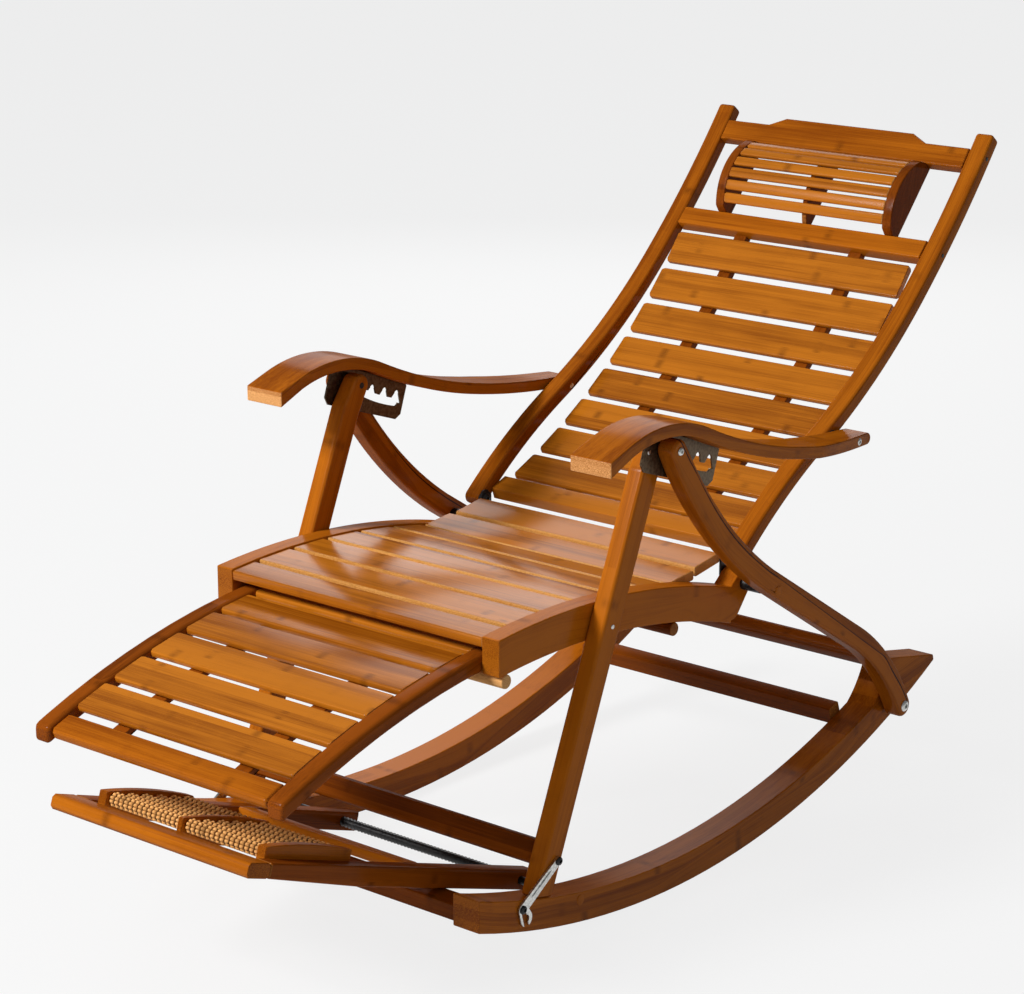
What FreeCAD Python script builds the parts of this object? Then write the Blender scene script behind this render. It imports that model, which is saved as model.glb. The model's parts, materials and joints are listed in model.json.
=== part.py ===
import FreeCAD, Part
import math
import os

# Folding bamboo rocking recliner with a sliding footrest and a roller foot massager.
# Millimetres, +Z up, the sitter faces -Y and the sitter's left is +X.
# Side views are drawn as (y, z) with y = 0 at the front edge of the seat and z = 0 on the floor.
# At the end every piece is moved so that the origin is under the middle of the whole chair.

# Layers across the chair, from the middle outwards
SEAT_WIDTH = 453.0
SEAT_RAIL_T = 26.5
SIDE_GAP = 0.5
LEG_T = 24.0
ROCKER_T = 40.0
PLATE_T = 2.5
REAR_LEG_T = 25.0
STILE_T = 26.5
ARM_WIDTH = 60.0
ARM_INSET = 2.5

# Seat: two curved rails with boards between them
SEAT_RADIUS = 1150.0
SEAT_CREST_Y = 112.0
SEAT_HEIGHT = 400.0
SEAT_RAIL_DEPTH = 45.0
SEAT_LENGTH = 448.0
SEAT_FRONT_BOARD = 39.0
SEAT_SLAT_COUNT = 5
SEAT_SLAT_PITCH = 61.0
SEAT_SLAT_GAP = 7.0
SEAT_SLAT_T = 13.0
SEAT_RISE_TURN = 6.0
SEAT_RISE_AHEAD = 11.0
SEAT_RISE_ABOVE = 4.5
SEAT_BATTEN_INSET = 12.0
SEAT_NOSE_R = 17.0
SEAT_NOSE_ALONG = 304.5
SEAT_NOSE_ACROSS = -5.9

# Rockers
ROCKER_RADIUS = 1190.0
ROCKER_DEPTH = 38.0
ROCKER_LOW_Y = 322.0
ROCKER_FRONT_Y = -65.0
ROCKER_TAIL_Y = 890.0
TAIL_RISE = 40.0
TAIL_LENGTH = 112.0

# Legs
FRONT_LEG_DEPTH = 32.5
FRONT_LEG_LEAN = 22.5
FRONT_LEG_AHEAD = 6.5
REAR_LEG_DEPTH = 30.0
REAR_LEG_HEADING = -60.0
REAR_LEG_STRETCHES = [(300.0, 28.0), (220.0, 0.0), (172.0, -30.6)]
BASE_PIVOT_Y = 773.2
BASE_PIVOT_RISE = 25.0
LEG_END_R = 14.0
APEX_Y = 265.0
APEX_Z = 571.0

# Backrest: two bent stiles with rails, boards and a head pillow between them
STILE_DEPTH = 20.5
HINGE_RISE = 32.0
STILE_HEADING = 41.4
STILE_STRETCHES = [(200.0, -14.6), (270.0, 16.2), (262.0, 9.3)]
BACK_RAIL_T = 18.0
BOARD_BEHIND = 3.0
BOARD_ABOVE = 7.5
BOARD_HEADING = 19.0
BOARD_STRETCHES = [(520.0, 33.9)]
LOWER_RAIL_START = 12.0
LOWER_RAIL_HEIGHT = 32.0
BACK_SLAT_COUNT = 8
BACK_SLAT_START = 50.0
BACK_SLAT_END = 514.0
BACK_SLAT_GAP = 10.5
BACK_SLAT_LENGTH = 382.0
CREST_HEIGHT = 31.0
CREST_RISE = 12.5
CREST_FLAT = 105.0
CREST_SHOULDER = 130.0
CREST_DROP = 25.0
HEAD_RAIL_HEIGHT = 28.5
HEAD_RAIL_T = 20.0
PILLOW_HEIGHT = 118.5
BACK_SLAT_T = 9.0
BATTEN_T = 11.0
BATTEN_W = 20.0
BATTEN_X = 95.0
PILLOW_LENGTH = 290.0
PILLOW_END_T = 14.0
PILLOW_BULGE = 33.0
PILLOW_FOOT = 9.7
PILLOW_FOOT_RISE = 2.5
PILLOW_BROW = 11.4
PILLOW_BROW_DROP = 5.0
PILLOW_BOW_DROP = 0.7
PILLOW_LAP = 15.0
PILLOW_RIB_T = 8.0
PILLOW_SLAT_COUNT = 6
PILLOW_SLAT_GAP = 5.0
PILLOW_SLAT_T = 7.0

# Armrests and the notched plates under them
ARM_T = 15.5
ARM_TIP_AHEAD = 141.0
ARM_TIP_RISE = 10.0
ARM_BOLT_ALONG = 222.4
ARM_BOLT_ACROSS = -2.7
ARM_HEADING = 19.0
ARM_STRETCHES = [(36.0, 0.0), (153.0, -44.0), (186.0, 13.0), (177.0, 8.2)]
ARM_BOLT_BEHIND = 25.0
ARM_TAPER_LENGTH = 140.0
ARM_END_WIDTH = 36.0
RECLINE_MAX = 31.0
ARM_FOLLOW = -0.78
NOTCH_COUNT = 5
NOTCH_PITCH = 24.5
NOTCH_TILT = -19.0
TOOTH_TIP = 2.5
PLATE_AHEAD = 36.0
PLATE_BEHIND = 16.0
PLATE_BELOW = 33.0
PLATE_ABOVE = 21.0
PLATE_CORNER = 8.0

# Footrest
FOOT_DROP = 24.5
FOOT_RAIL_T = 26.0
FOOT_FRONT_Y = -325.0
FOOT_FRONT_RAIL = 33.0
FOOT_SLAT_COUNT = 6
FOOT_SLAT_GAP = 8.5
FOOT_SLAT_PITCH = 58.7
FOOT_SLAT_T = 9.0
FOOT_BATTEN_X = 98.0
FOOT_BATTEN_W = 22.0
FOOT_BATTEN_T = 8.0
DOWEL_D = 17.0
DOWEL_FRONT_Y = 13.0
DOWEL_BACK_Y = 330.0

# Foot massager
MASSAGER_WIDTH = 317.0
MASSAGER_ARM_T = 24.0
MASSAGER_ARM_DEPTH = 25.0
MASSAGER_TIP_DEPTH = 18.0
MASSAGER_PIVOT_Y = 119.0
MASSAGER_PIVOT_Z = 46.0
MASSAGER_RISE = 18.9
MASSAGER_REACH = 485.0
MASSAGER_TAIL = 30.0
MASSAGER_FRONT_RAIL = 36.0
END_BOARD_T = 13.5
END_BOARD_START = 292.0
END_BOARD_FRONT = 436.0
END_BOARD_TOP = 12.5
END_BOARD_HUMP = 4.0
DIVIDER_T = 8.0
ROLLER_ROWS = 6
ROLLER_PITCH = 23.5
ROLLER_FIRST = 307.0
ROLLER_R = 10.5
ROLLER_GROOVE = 3.0
ROLLER_KNOBS = 6
ROLLER_SIDES = 6
ROLLER_LIFT = 17.0
ROLLER_END_GAP = 0.5
ROLLER_ROD_D = 5.0
MASSAGER_REAR_RAIL = 184.0
PIVOT_ROD_D = 10.0

# Cross rails
FRONT_LEG_RAIL_Z = 116.0
FRONT_LEG_RAIL_H = 30.0
FRONT_LEG_RAIL_T = 20.0
REAR_LEG_RAIL_S = 590.0
REAR_LEG_RAIL_H = 31.0
REAR_LEG_RAIL_T = 18.0
ROCKER_FRONT_RAIL_Y = -24.0
ROCKER_FRONT_RAIL_W = 32.0
ROCKER_FRONT_RAIL_H = 21.0
ROCKER_REAR_RAIL_Y = 712.0
ROCKER_REAR_RAIL_W = 22.0
ROCKER_REAR_RAIL_H = 25.0
ROCKER_REAR_RAIL_PROUD = 14.0

# Fasteners and fits
BOLT_D = 8.0
RUNNING_FIT = 0.05
HOLE_SIDES = 8
WORK_GAP = 0.3
NOTCH_PLAY = 0.4
CHANNEL_PLAY = 1.0
HINGE_PLATE_T = 3.0
HINGE_PLATE_R = 12.0
EDGE = 2.0
SOFT_EDGE = 4.0

# Hook latch between front leg and rocker
LATCH_T = 3.0
LATCH_W = 10.0
LATCH_TOP_Z = 111.0
LATCH_TOP_BACK = 6.0
LATCH_PIN_Y = 9.0
LATCH_PIN_DEPTH = 10.0
LATCH_PIN_D = 7.0
LATCH_RING_R = 10.0
LATCH_RING_HOLE = 4.5
LATCH_RING_BACK = 6.5
LATCH_RING_DROP = 13.0
LATCH_FOLLOW = 4.0
LATCH_CLEAR_SWING = 2.4
LATCH_CLEAR_STEPS = 2


def vec(x, y, z):
    return FreeCAD.Vector(x, y, z)


def side(y, z):
    """A point of a side view, in the middle plane of the chair."""
    return FreeCAD.Vector(0.0, y, z)


def step(point, heading, along, across=0.0):
    """The point that lies along a heading, and across to its left, from a (y, z) point."""
    a = math.radians(heading)
    return (point[0] + along * math.cos(a) - across * math.sin(a),
            point[1] + along * math.sin(a) + across * math.cos(a))


def turned(point, centre, degrees):
    """A (y, z) point turned about a centre, counter-clockwise in the side view from +X."""
    a = math.radians(degrees)
    dy = point[0] - centre[0]
    dz = point[1] - centre[1]
    return (centre[0] + dy * math.cos(a) - dz * math.sin(a),
            centre[1] + dy * math.sin(a) + dz * math.cos(a))


class SidePath:
    """A bent centre line in the side view: stretches of (length, turn), each tangent to the last."""

    def __init__(self, start, heading, stretches):
        self.start = start
        self.heading = heading
        self.stretches = stretches
        self.length = sum(length for length, turn in stretches)

    @classmethod
    def between(cls, start, end, heading, stretches):
        """The line of that form, turned and scaled to run from one point to another."""
        form = cls((0.0, 0.0), heading, stretches)
        reach = form.at(form.length)[0]
        want = (end[0] - start[0], end[1] - start[1])
        scale = math.hypot(*want) / math.hypot(*reach)
        turn = math.degrees(math.atan2(want[1], want[0]) - math.atan2(reach[1], reach[0]))
        return cls(start, heading + turn, [(length * scale, bend) for length, bend in stretches])

    def at(self, s):
        """Point and heading at a distance along the line, straight on past its ends."""
        point = self.start
        heading = self.heading
        left = s
        for index, (length, turn) in enumerate(self.stretches):
            last = index == len(self.stretches) - 1
            part = left if left <= length else length
            if part < 0.0:
                return step(point, heading, part), heading
            bend = turn * part / length
            half = math.radians(bend / 2.0)
            chord = part * (math.sin(half) / half if abs(half) > 1e-9 else 1.0)
            point = step(point, heading + bend / 2.0, chord)
            heading = heading + bend
            left = left - part
            if left <= 0.0:
                return point, heading
            if last:
                return step(point, heading, left), heading
        return point, heading

    def place(self, s, across):
        point, heading = self.at(s)
        return step(point, heading, 0.0, across)

    def breaks(self, s0, s1):
        """Distances at which the stretches between s0 and s1 begin and end."""
        marks = [s0]
        total = 0.0
        for length, turn in self.stretches:
            total = total + length
            if s0 + 1e-6 < total < s1 - 1e-6:
                marks.append(total)
        marks.append(s1)
        return marks

    def edge(self, s0, s1, across):
        """Edges of a line beside the centre line, from s0 to s1."""
        edges = []
        marks = self.breaks(s0, s1)
        for a, b in zip(marks, marks[1:]):
            edges.append(curve_through(self.place(a, across), self.place((a + b) / 2.0, across),
                                       self.place(b, across)))
        return edges

    def bar(self, depth, s0, s1, round_start=False, round_end=False):
        """Face of a bar of even depth along the line."""
        half = depth / 2.0
        edges = self.edge(s0, s1, half)
        tip, heading = self.at(s1)
        edges.append(end_cap(self.place(s1, half), step(tip, heading, half),
                             self.place(s1, -half), round_end))
        edges.extend(self.edge(s0, s1, -half))
        tail, heading = self.at(s0)
        edges.append(end_cap(self.place(s0, -half), step(tail, heading, -half),
                             self.place(s0, half), round_start))
        return face_of(edges)


def curve_through(a, b, c):
    """A line or arc edge through three (y, z) points."""
    bow = (c[0] - a[0]) * (b[1] - a[1]) - (c[1] - a[1]) * (b[0] - a[0])
    if abs(bow) < 1e-4:
        return Part.makeLine(side(*a), side(*c))
    return Part.Arc(side(*a), side(*b), side(*c)).toShape()


def end_cap(a, tip, b, rounded):
    if rounded:
        return Part.Arc(side(*a), side(*tip), side(*b)).toShape()
    return Part.makeLine(side(*a), side(*b))


def face_of(edges):
    return Part.Face(Part.Wire(Part.__sortEdges__(edges)))


def polygon(points):
    corners = [side(*p) for p in points]
    return Part.Face(Part.makePolygon(corners + corners[:1]))


def cut_corners(points, size):
    """Face with straight sides and its corners cut off."""
    corners = []
    for i, here in enumerate(points):
        for other in (points[i - 1], points[(i + 1) % len(points)]):
            share = size / math.hypot(other[0] - here[0], other[1] - here[1])
            corners.append((here[0] + (other[0] - here[0]) * share, here[1] + (other[1] - here[1]) * share))
    return polygon(corners)


def strap(a, radius_a, b, radius_b):
    """Face round two circles and the tangents between them."""
    heading = math.degrees(math.atan2(b[1] - a[1], b[0] - a[0]))
    span = math.hypot(b[0] - a[0], b[1] - a[1])
    lean = math.degrees(math.acos((radius_a - radius_b) / span))
    top_a = step(a, heading + lean, radius_a)
    top_b = step(b, heading + lean, radius_b)
    low_a = step(a, heading - lean, radius_a)
    low_b = step(b, heading - lean, radius_b)
    edges = [Part.makeLine(side(*top_a), side(*top_b)),
             Part.Arc(side(*top_b), side(*step(b, heading, radius_b)), side(*low_b)).toShape(),
             Part.makeLine(side(*low_b), side(*low_a)),
             Part.Arc(side(*low_a), side(*step(a, heading, -radius_a)), side(*top_a)).toShape()]
    return face_of(edges)


def thicken(face, x0, x1):
    """Solid of a side-view face between two distances across the chair."""
    moved = face.copy()
    moved.translate(vec(x0, 0.0, 0.0))
    return moved.extrude(vec(x1 - x0, 0.0, 0.0))


def eased(solid, size):
    """The solid with the long edges of its two side faces chamfered."""
    edges = [e for e in solid.Edges if e.BoundBox.XLength < 1e-6]
    return solid.makeChamfer(size, edges)


def rod(point, diameter, x0, x1):
    """A round bar across the chair."""
    return Part.makeCylinder(diameter / 2.0, x1 - x0, vec(x0, point[0], point[1]), vec(1.0, 0.0, 0.0))


def bore(point, diameter, x0, x1, heading=0.0):
    """A hole for a round bar, with flat sides that touch it, two of them square to the heading."""
    turn = 360.0 / HOLE_SIDES
    radius = diameter / 2.0 / math.cos(math.pi / HOLE_SIDES)
    corners = [step(point, heading + (k + 0.5) * turn, radius) for k in range(HOLE_SIDES)]
    return thicken(polygon(corners), x0, x1)


def mirrored(shape):
    return shape.mirror(vec(0.0, 0.0, 0.0), vec(1.0, 0.0, 0.0))


def board(point, heading, along0, along1, across0, across1, x0, x1):
    """A straight board: a rectangle in the side view, set at a heading, spanning x0 to x1."""
    corners = [step(point, heading, along0, across0), step(point, heading, along1, across0),
               step(point, heading, along1, across1), step(point, heading, along0, across1)]
    return thicken(polygon(corners), x0, x1)


def softened(solid, size):
    """The board with its four long edges across the chair chamfered."""
    edges = [e for e in solid.Edges if e.BoundBox.YLength < 1e-6 and e.BoundBox.ZLength < 1e-6]
    return solid.makeChamfer(size, edges)


# Layers
seat_out = SEAT_WIDTH / 2.0
seat_in = seat_out - SEAT_RAIL_T
leg_in = seat_out + SIDE_GAP
leg_out = leg_in + LEG_T
rocker_in = leg_out - ROCKER_T
plate_in = leg_out + SIDE_GAP
plate_out = plate_in + PLATE_T
rear_in = plate_out + SIDE_GAP
rear_out = rear_in + REAR_LEG_T
stile_in = seat_in + WORK_GAP
stile_out = stile_in + STILE_T
arm_in = leg_in + ARM_INSET
arm_out = arm_in + ARM_WIDTH

def on_circle(centre, radius, y):
    """Upper point of a circle at a given y."""
    return (y, centre[1] + math.sqrt(radius ** 2 - (y - centre[0]) ** 2))


def under_circle(centre, radius, y):
    """Lower point of a circle at a given y."""
    return (y, centre[1] - math.sqrt(radius ** 2 - (y - centre[0]) ** 2))


def seat_point(y, below):
    return on_circle(seat_centre, SEAT_RADIUS - below, y)


# Main points of the side view
seat_centre = (SEAT_CREST_Y, SEAT_HEIGHT - SEAT_RADIUS)
rocker_centre = (ROCKER_LOW_Y, ROCKER_RADIUS)
apex = (APEX_Y, APEX_Z)
leg_top = (APEX_Y - FRONT_LEG_AHEAD, APEX_Z)
base_pivot = under_circle(rocker_centre, ROCKER_RADIUS - BASE_PIVOT_RISE, BASE_PIVOT_Y)
rear_leg_path = SidePath.between(apex, base_pivot, REAR_LEG_HEADING, REAR_LEG_STRETCHES)


seat_rear = seat_point(SEAT_LENGTH, SEAT_RAIL_DEPTH / 2.0)
foot_back = FOOT_FRONT_Y + FOOT_FRONT_RAIL + FOOT_SLAT_COUNT * FOOT_SLAT_PITCH
seat_nose = rear_leg_path.place(SEAT_NOSE_ALONG, SEAT_NOSE_ACROSS)
hinge = (seat_nose[0], seat_nose[1] + HINGE_RISE)
back_path = SidePath(hinge, STILE_HEADING, STILE_STRETCHES)
board_path = SidePath((hinge[0] + BOARD_BEHIND, hinge[1] + BOARD_ABOVE), BOARD_HEADING, BOARD_STRETCHES)
seat_rise_y = SEAT_FRONT_BOARD + SEAT_SLAT_COUNT * SEAT_SLAT_PITCH + SEAT_SLAT_GAP
seat_rise_end = (hinge[0] - SEAT_RISE_AHEAD, hinge[1] + SEAT_RISE_ABOVE)
seat_rise = SidePath.between(seat_point(seat_rise_y, EDGE), seat_rise_end, 0.0, [(1.0, SEAT_RISE_TURN)])
rise_half = (seat_rise.length - SEAT_SLAT_GAP) / 4.0
arm_tip = (APEX_Y - ARM_TIP_AHEAD, APEX_Z + ARM_TIP_RISE)
arm_bolt = back_path.place(ARM_BOLT_ALONG, ARM_BOLT_ACROSS)
arm_path = SidePath.between(arm_tip, arm_bolt, ARM_HEADING, ARM_STRETCHES)
arm_length = arm_path.length + ARM_BOLT_BEHIND
massager_pivot = (MASSAGER_PIVOT_Y, MASSAGER_PIVOT_Z)
massager_heading = 180.0 - MASSAGER_RISE


def seat_band(ys, top, low):
    """Face of a band that follows the seat's curve, between two depths below it."""
    upper = [seat_point(y, top) for y in ys]
    lower = [seat_point(y, low) for y in ys]
    return face_of([curve_through(*upper), Part.makeLine(side(*upper[2]), side(*lower[2])),
                    curve_through(*lower), Part.makeLine(side(*lower[0]), side(*upper[0]))])


def seat_rail():
    """Curved side rail with a round nose that the back hinge and the rear leg bolt hold."""
    ys = (0.0, SEAT_LENGTH / 2.0, SEAT_LENGTH)
    shape = thicken(seat_band(ys, 0.0, SEAT_RAIL_DEPTH), seat_in, seat_out)
    rear = thicken(strap(seat_rear, SEAT_RAIL_DEPTH / 2.0 - EDGE, seat_nose, SEAT_NOSE_R), seat_in, seat_out)
    shape = shape.fuse(rear).removeSplitter()
    return shape.cut(bore(seat_nose, BOLT_D, seat_in, seat_out))


def seat_heading(y):
    return math.degrees(math.asin((SEAT_CREST_Y - y) / SEAT_RADIUS))


def seat_board(y0, y1):
    """A board between the seat rails, just below their tops."""
    y = (y0 + y1) / 2.0
    half = (y1 - y0) / 2.0
    slat = board(seat_point(y, EDGE), seat_heading(y), -half, half, -SEAT_SLAT_T, 0.0, -seat_in, seat_in)
    return softened(slat, EDGE)


def rising_boards():
    """The last two boards, which leave the rails and rise to the back's hinge, on two short battens."""
    front = seat_rise.at(rise_half)
    rear = seat_rise.at(seat_rise.length - rise_half)
    boards = []
    for (point, heading), reach in ((front, seat_in), (rear, seat_in - HINGE_PLATE_T - SIDE_GAP)):
        slat = board(point, heading, -rise_half, rise_half, -SEAT_SLAT_T, 0.0, -reach, reach)
        boards.append(softened(slat, EDGE))
    top = -SEAT_SLAT_T - WORK_GAP
    ends = ((front, SEAT_BATTEN_INSET - rise_half), (front, rise_half), (rear, -rise_half),
            (rear, rise_half - SEAT_BATTEN_INSET))
    upper = [step(*place, along, top) for place, along in ends]
    lower = [step(*place, along, top - BATTEN_T) for place, along in ends]
    batten = thicken(polygon(upper + lower[::-1]), BATTEN_X - BATTEN_W / 2.0, BATTEN_X + BATTEN_W / 2.0)
    return boards + pair(batten).Solids


def seat_slats():
    """The front board, the wider ones behind it and the two that rise to the back."""
    slats = rising_boards() + [seat_board(0.0, SEAT_FRONT_BOARD)]
    for i in range(SEAT_SLAT_COUNT):
        start = SEAT_FRONT_BOARD + SEAT_SLAT_GAP + i * SEAT_SLAT_PITCH
        slats.append(seat_board(start, start + SEAT_SLAT_PITCH - SEAT_SLAT_GAP))
    return Part.Compound(slats)


def seat_dowels():
    """Round bars under the rails that carry the footrest."""
    bars = []
    for y in (DOWEL_FRONT_Y, DOWEL_BACK_Y):
        centre = seat_point(y, SEAT_RAIL_DEPTH + DOWEL_D / 2.0)
        bars.append(rod(centre, DOWEL_D, -seat_out, seat_out))
    return Part.Compound(bars)


def footrest_guides():
    """Strips under the boards that hold the tail of the footrest down."""
    ends = (foot_back - DOWEL_FRONT_Y, DOWEL_BACK_Y + DOWEL_FRONT_Y)
    ys = (ends[0], sum(ends) / 2.0, ends[1])
    face = seat_band(ys, SEAT_SLAT_T + EDGE + WORK_GAP, FOOT_DROP - WORK_GAP)
    return pair(thicken(face, seat_in - FOOT_RAIL_T / 2.0, seat_in))


def rocker():
    """Runner with a round underside, a square front end and a raised tail behind the rear leg."""
    inner = ROCKER_RADIUS - ROCKER_DEPTH
    tail_front_y = ROCKER_TAIL_Y - TAIL_LENGTH
    mid_y = (ROCKER_FRONT_Y + ROCKER_TAIL_Y) / 2.0
    neck_y = tail_front_y - TAIL_RISE
    low = [under_circle(rocker_centre, ROCKER_RADIUS, y) for y in (ROCKER_FRONT_Y, mid_y, ROCKER_TAIL_Y)]
    top = [under_circle(rocker_centre, inner, y)
           for y in (ROCKER_FRONT_Y, (ROCKER_FRONT_Y + neck_y) / 2.0, neck_y)]
    crown = under_circle(rocker_centre, inner - TAIL_RISE, tail_front_y)
    sweep = under_circle(rocker_centre, inner - TAIL_RISE * 0.3, (neck_y + tail_front_y) / 2.0)
    tip = (low[2][0] - EDGE, low[2][1] + 2.0 * SOFT_EDGE)
    edges = [curve_through(*low), Part.makeLine(side(*low[2]), side(*tip)),
             Part.makeLine(side(*tip), side(*crown)), curve_through(crown, sweep, top[2]),
             curve_through(*top), Part.makeLine(side(*top[0]), side(*low[0]))]
    shape = thicken(face_of(edges), rocker_in, leg_out)
    sizes = ((base_pivot, BOLT_D), (massager_pivot, PIVOT_ROD_D), (latch_pin, LATCH_PIN_D))
    return shape.cut([bore(point, diameter, rocker_in, leg_out) for point, diameter in sizes])


def rocker_rails():
    """Cross rails between the rockers: a flat one under the massager arms and one at the rear."""
    arm_low = step(massager_pivot, massager_heading, 0.0, MASSAGER_ARM_DEPTH / 2.0 + WORK_GAP)
    back_edge = ROCKER_FRONT_RAIL_Y + ROCKER_FRONT_RAIL_W / 2.0
    rise = math.tan(math.radians(MASSAGER_RISE))
    top = arm_low[1] + (arm_low[0] - back_edge) * rise
    front = board((ROCKER_FRONT_RAIL_Y, top), 0.0, -ROCKER_FRONT_RAIL_W / 2.0, ROCKER_FRONT_RAIL_W / 2.0,
                  -ROCKER_FRONT_RAIL_H, 0.0, -rocker_in, rocker_in)
    inner = ROCKER_RADIUS - ROCKER_DEPTH
    seat = under_circle(rocker_centre, inner, ROCKER_REAR_RAIL_Y)
    heading = math.degrees(math.asin((ROCKER_REAR_RAIL_Y - ROCKER_LOW_Y) / inner))
    rear = board(seat, heading, -ROCKER_REAR_RAIL_W / 2.0, ROCKER_REAR_RAIL_W / 2.0,
                 ROCKER_REAR_RAIL_PROUD - ROCKER_REAR_RAIL_H, ROCKER_REAR_RAIL_PROUD, -rocker_in, rocker_in)
    return softened(front, EDGE), softened(rear, EDGE)


def front_leg():
    """Straight leg from the apex bolt down to the top of the rocker."""
    reach = APEX_Z / math.cos(math.radians(FRONT_LEG_LEAN))
    line = SidePath(leg_top, 270.0 - FRONT_LEG_LEAN, [(reach, 0.0)])
    half = FRONT_LEG_DEPTH / 2.0
    shoulder = FRONT_LEG_DEPTH
    crown = strap(apex, LEG_END_R, line.at(shoulder)[0], half)
    shape = thicken(line.bar(FRONT_LEG_DEPTH, shoulder, reach), leg_in, leg_out)
    shape = shape.fuse(thicken(crown, leg_in, leg_out)).removeSplitter()
    floor = rod(rocker_centre, 2.0 * (ROCKER_RADIUS - ROCKER_DEPTH - WORK_GAP), leg_in - 1.0, leg_out + 1.0)
    holes = [bore(apex, BOLT_D, leg_in, leg_out), bore(latch_top, LATCH_PIN_D, leg_in, leg_out)]
    return shape.common(floor).cut(holes)


def leg_line(z):
    """Middle of the front leg at a height."""
    return (leg_top[0] - (leg_top[1] - z) * math.tan(math.radians(FRONT_LEG_LEAN)), z)


def front_leg_rail():
    shape = board(leg_line(FRONT_LEG_RAIL_Z), 90.0 - FRONT_LEG_LEAN, -FRONT_LEG_RAIL_H / 2.0,
                  FRONT_LEG_RAIL_H / 2.0, -FRONT_LEG_RAIL_T / 2.0, FRONT_LEG_RAIL_T / 2.0, -leg_in, leg_in)
    return softened(shape, SOFT_EDGE)


def rear_leg():
    """S-bent leg outside the notched plate, from the apex bolt down to the pivot on the rocker."""
    half = REAR_LEG_DEPTH / 2.0
    shape = thicken(rear_leg_path.bar(REAR_LEG_DEPTH, REAR_LEG_DEPTH, rear_leg_path.length,
                                      round_end=True), rear_in, rear_out)
    crown = strap(apex, LEG_END_R, rear_leg_path.at(REAR_LEG_DEPTH)[0], half)
    shape = shape.fuse(thicken(crown, rear_in, rear_out)).removeSplitter()
    holes = [bore(apex, BOLT_D, rear_in, rear_out), bore(seat_nose, BOLT_D, rear_in, rear_out),
             bore(base_pivot, BOLT_D + 2.0 * RUNNING_FIT, rear_in, rear_out)]
    return shape.cut(holes)


def rear_leg_rail():
    point, heading = rear_leg_path.at(REAR_LEG_RAIL_S)
    shape = board(point, heading, -REAR_LEG_RAIL_H / 2.0, REAR_LEG_RAIL_H / 2.0,
                  -REAR_LEG_RAIL_T / 2.0, REAR_LEG_RAIL_T / 2.0, -rear_in, rear_in)
    return softened(shape, SOFT_EDGE)


def back_stile():
    """Bent side bar of the back, with a round foot on the hinge bolt."""
    shape = thicken(back_path.bar(STILE_DEPTH, 0.0, back_path.length, round_start=True), stile_in, stile_out)
    holes = [bore(hinge, BOLT_D + 2.0 * RUNNING_FIT, stile_in, stile_out),
             bore(arm_bolt, BOLT_D, stile_in, stile_out)]
    return shape.cut(holes)


crest_top = back_path.length - CREST_DROP
crest_low = crest_top - CREST_HEIGHT
head_top = crest_low - PILLOW_HEIGHT
head_low = head_top - HEAD_RAIL_HEIGHT
back_front = STILE_DEPTH / 2.0
lower_top = LOWER_RAIL_START + LOWER_RAIL_HEIGHT


def rail_point(s0, s1, along, across):
    """A point in the section of a back rail that reaches from s0 to s1."""
    point, heading = back_path.at((s0 + s1) / 2.0)
    return step(point, heading, along, across)


def head_rail():
    """Deep rail under the pillow, square to the back at its middle."""
    point, heading = back_path.at((head_low + head_top) / 2.0)
    half = HEAD_RAIL_HEIGHT / 2.0
    rail = board(point, heading, -half, half, back_front - HEAD_RAIL_T, back_front, -stile_in, stile_in)
    return softened(rail, EDGE)


def crest_rail():
    """Top rail with a raised middle, drawn on its own face and then set square to the stiles."""
    half = CREST_HEIGHT / 2.0
    high = half + CREST_RISE
    ends = [(-stile_in, -half), (stile_in, -half), (stile_in, half), (CREST_SHOULDER, half),
            (CREST_FLAT, high), (-CREST_FLAT, high), (-CREST_SHOULDER, half), (-stile_in, half)]
    corners = [vec(x, s, 0.0) for x, s in ends]
    face = Part.Face(Part.makePolygon(corners + corners[:1]))
    shape = face.extrude(vec(0.0, 0.0, BACK_RAIL_T))
    shape = shape.makeChamfer(EDGE, [e for e in shape.Edges if e.BoundBox.ZLength < 1e-6])
    point, heading = back_path.at((crest_low + crest_top) / 2.0)
    shape.translate(vec(0.0, 0.0, back_front - BACK_RAIL_T))
    shape.rotate(vec(0.0, 0.0, 0.0), vec(1.0, 0.0, 0.0), heading)
    shape.translate(side(*point))
    return shape


def back_slats():
    """Boards of the back, on a gentler curve of their own behind the stiles."""
    pitch = (BACK_SLAT_END - BACK_SLAT_START + BACK_SLAT_GAP) / BACK_SLAT_COUNT
    width = pitch - BACK_SLAT_GAP
    slats = []
    for i in range(BACK_SLAT_COUNT):
        point, heading = board_path.at(BACK_SLAT_START + i * pitch + width / 2.0)
        slat = board(point, heading, -width / 2.0, width / 2.0, -BACK_SLAT_T, 0.0,
                     -BACK_SLAT_LENGTH / 2.0, BACK_SLAT_LENGTH / 2.0)
        slats.append(softened(slat, EDGE))
    return Part.Compound(slats)


def back_battens():
    """Two bent battens that carry the boards, from the lower rail up to the head rail."""
    front = -BACK_SLAT_T - WORK_GAP
    rear = front - BATTEN_T
    s0, s1 = lower_top, BACK_SLAT_END + HEAD_RAIL_HEIGHT
    edges = board_path.edge(s0, s1, front) + board_path.edge(s0, s1, rear)
    for s in (s0, s1):
        edges.append(Part.makeLine(side(*board_path.place(s, front)), side(*board_path.place(s, rear))))
    batten = thicken(face_of(edges), BATTEN_X - BATTEN_W / 2.0, BATTEN_X + BATTEN_W / 2.0)
    return pair(batten.cut([head_rail(), lower_rail()]))


def lower_rail():
    """Thick lowest board of the back, which joins the stiles above their hinges."""
    point, heading = board_path.at(LOWER_RAIL_START + LOWER_RAIL_HEIGHT / 2.0)
    half = LOWER_RAIL_HEIGHT / 2.0
    return softened(board(point, heading, -half, half, -BACK_RAIL_T, 0.0, -stile_in, stile_in), EDGE)


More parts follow.
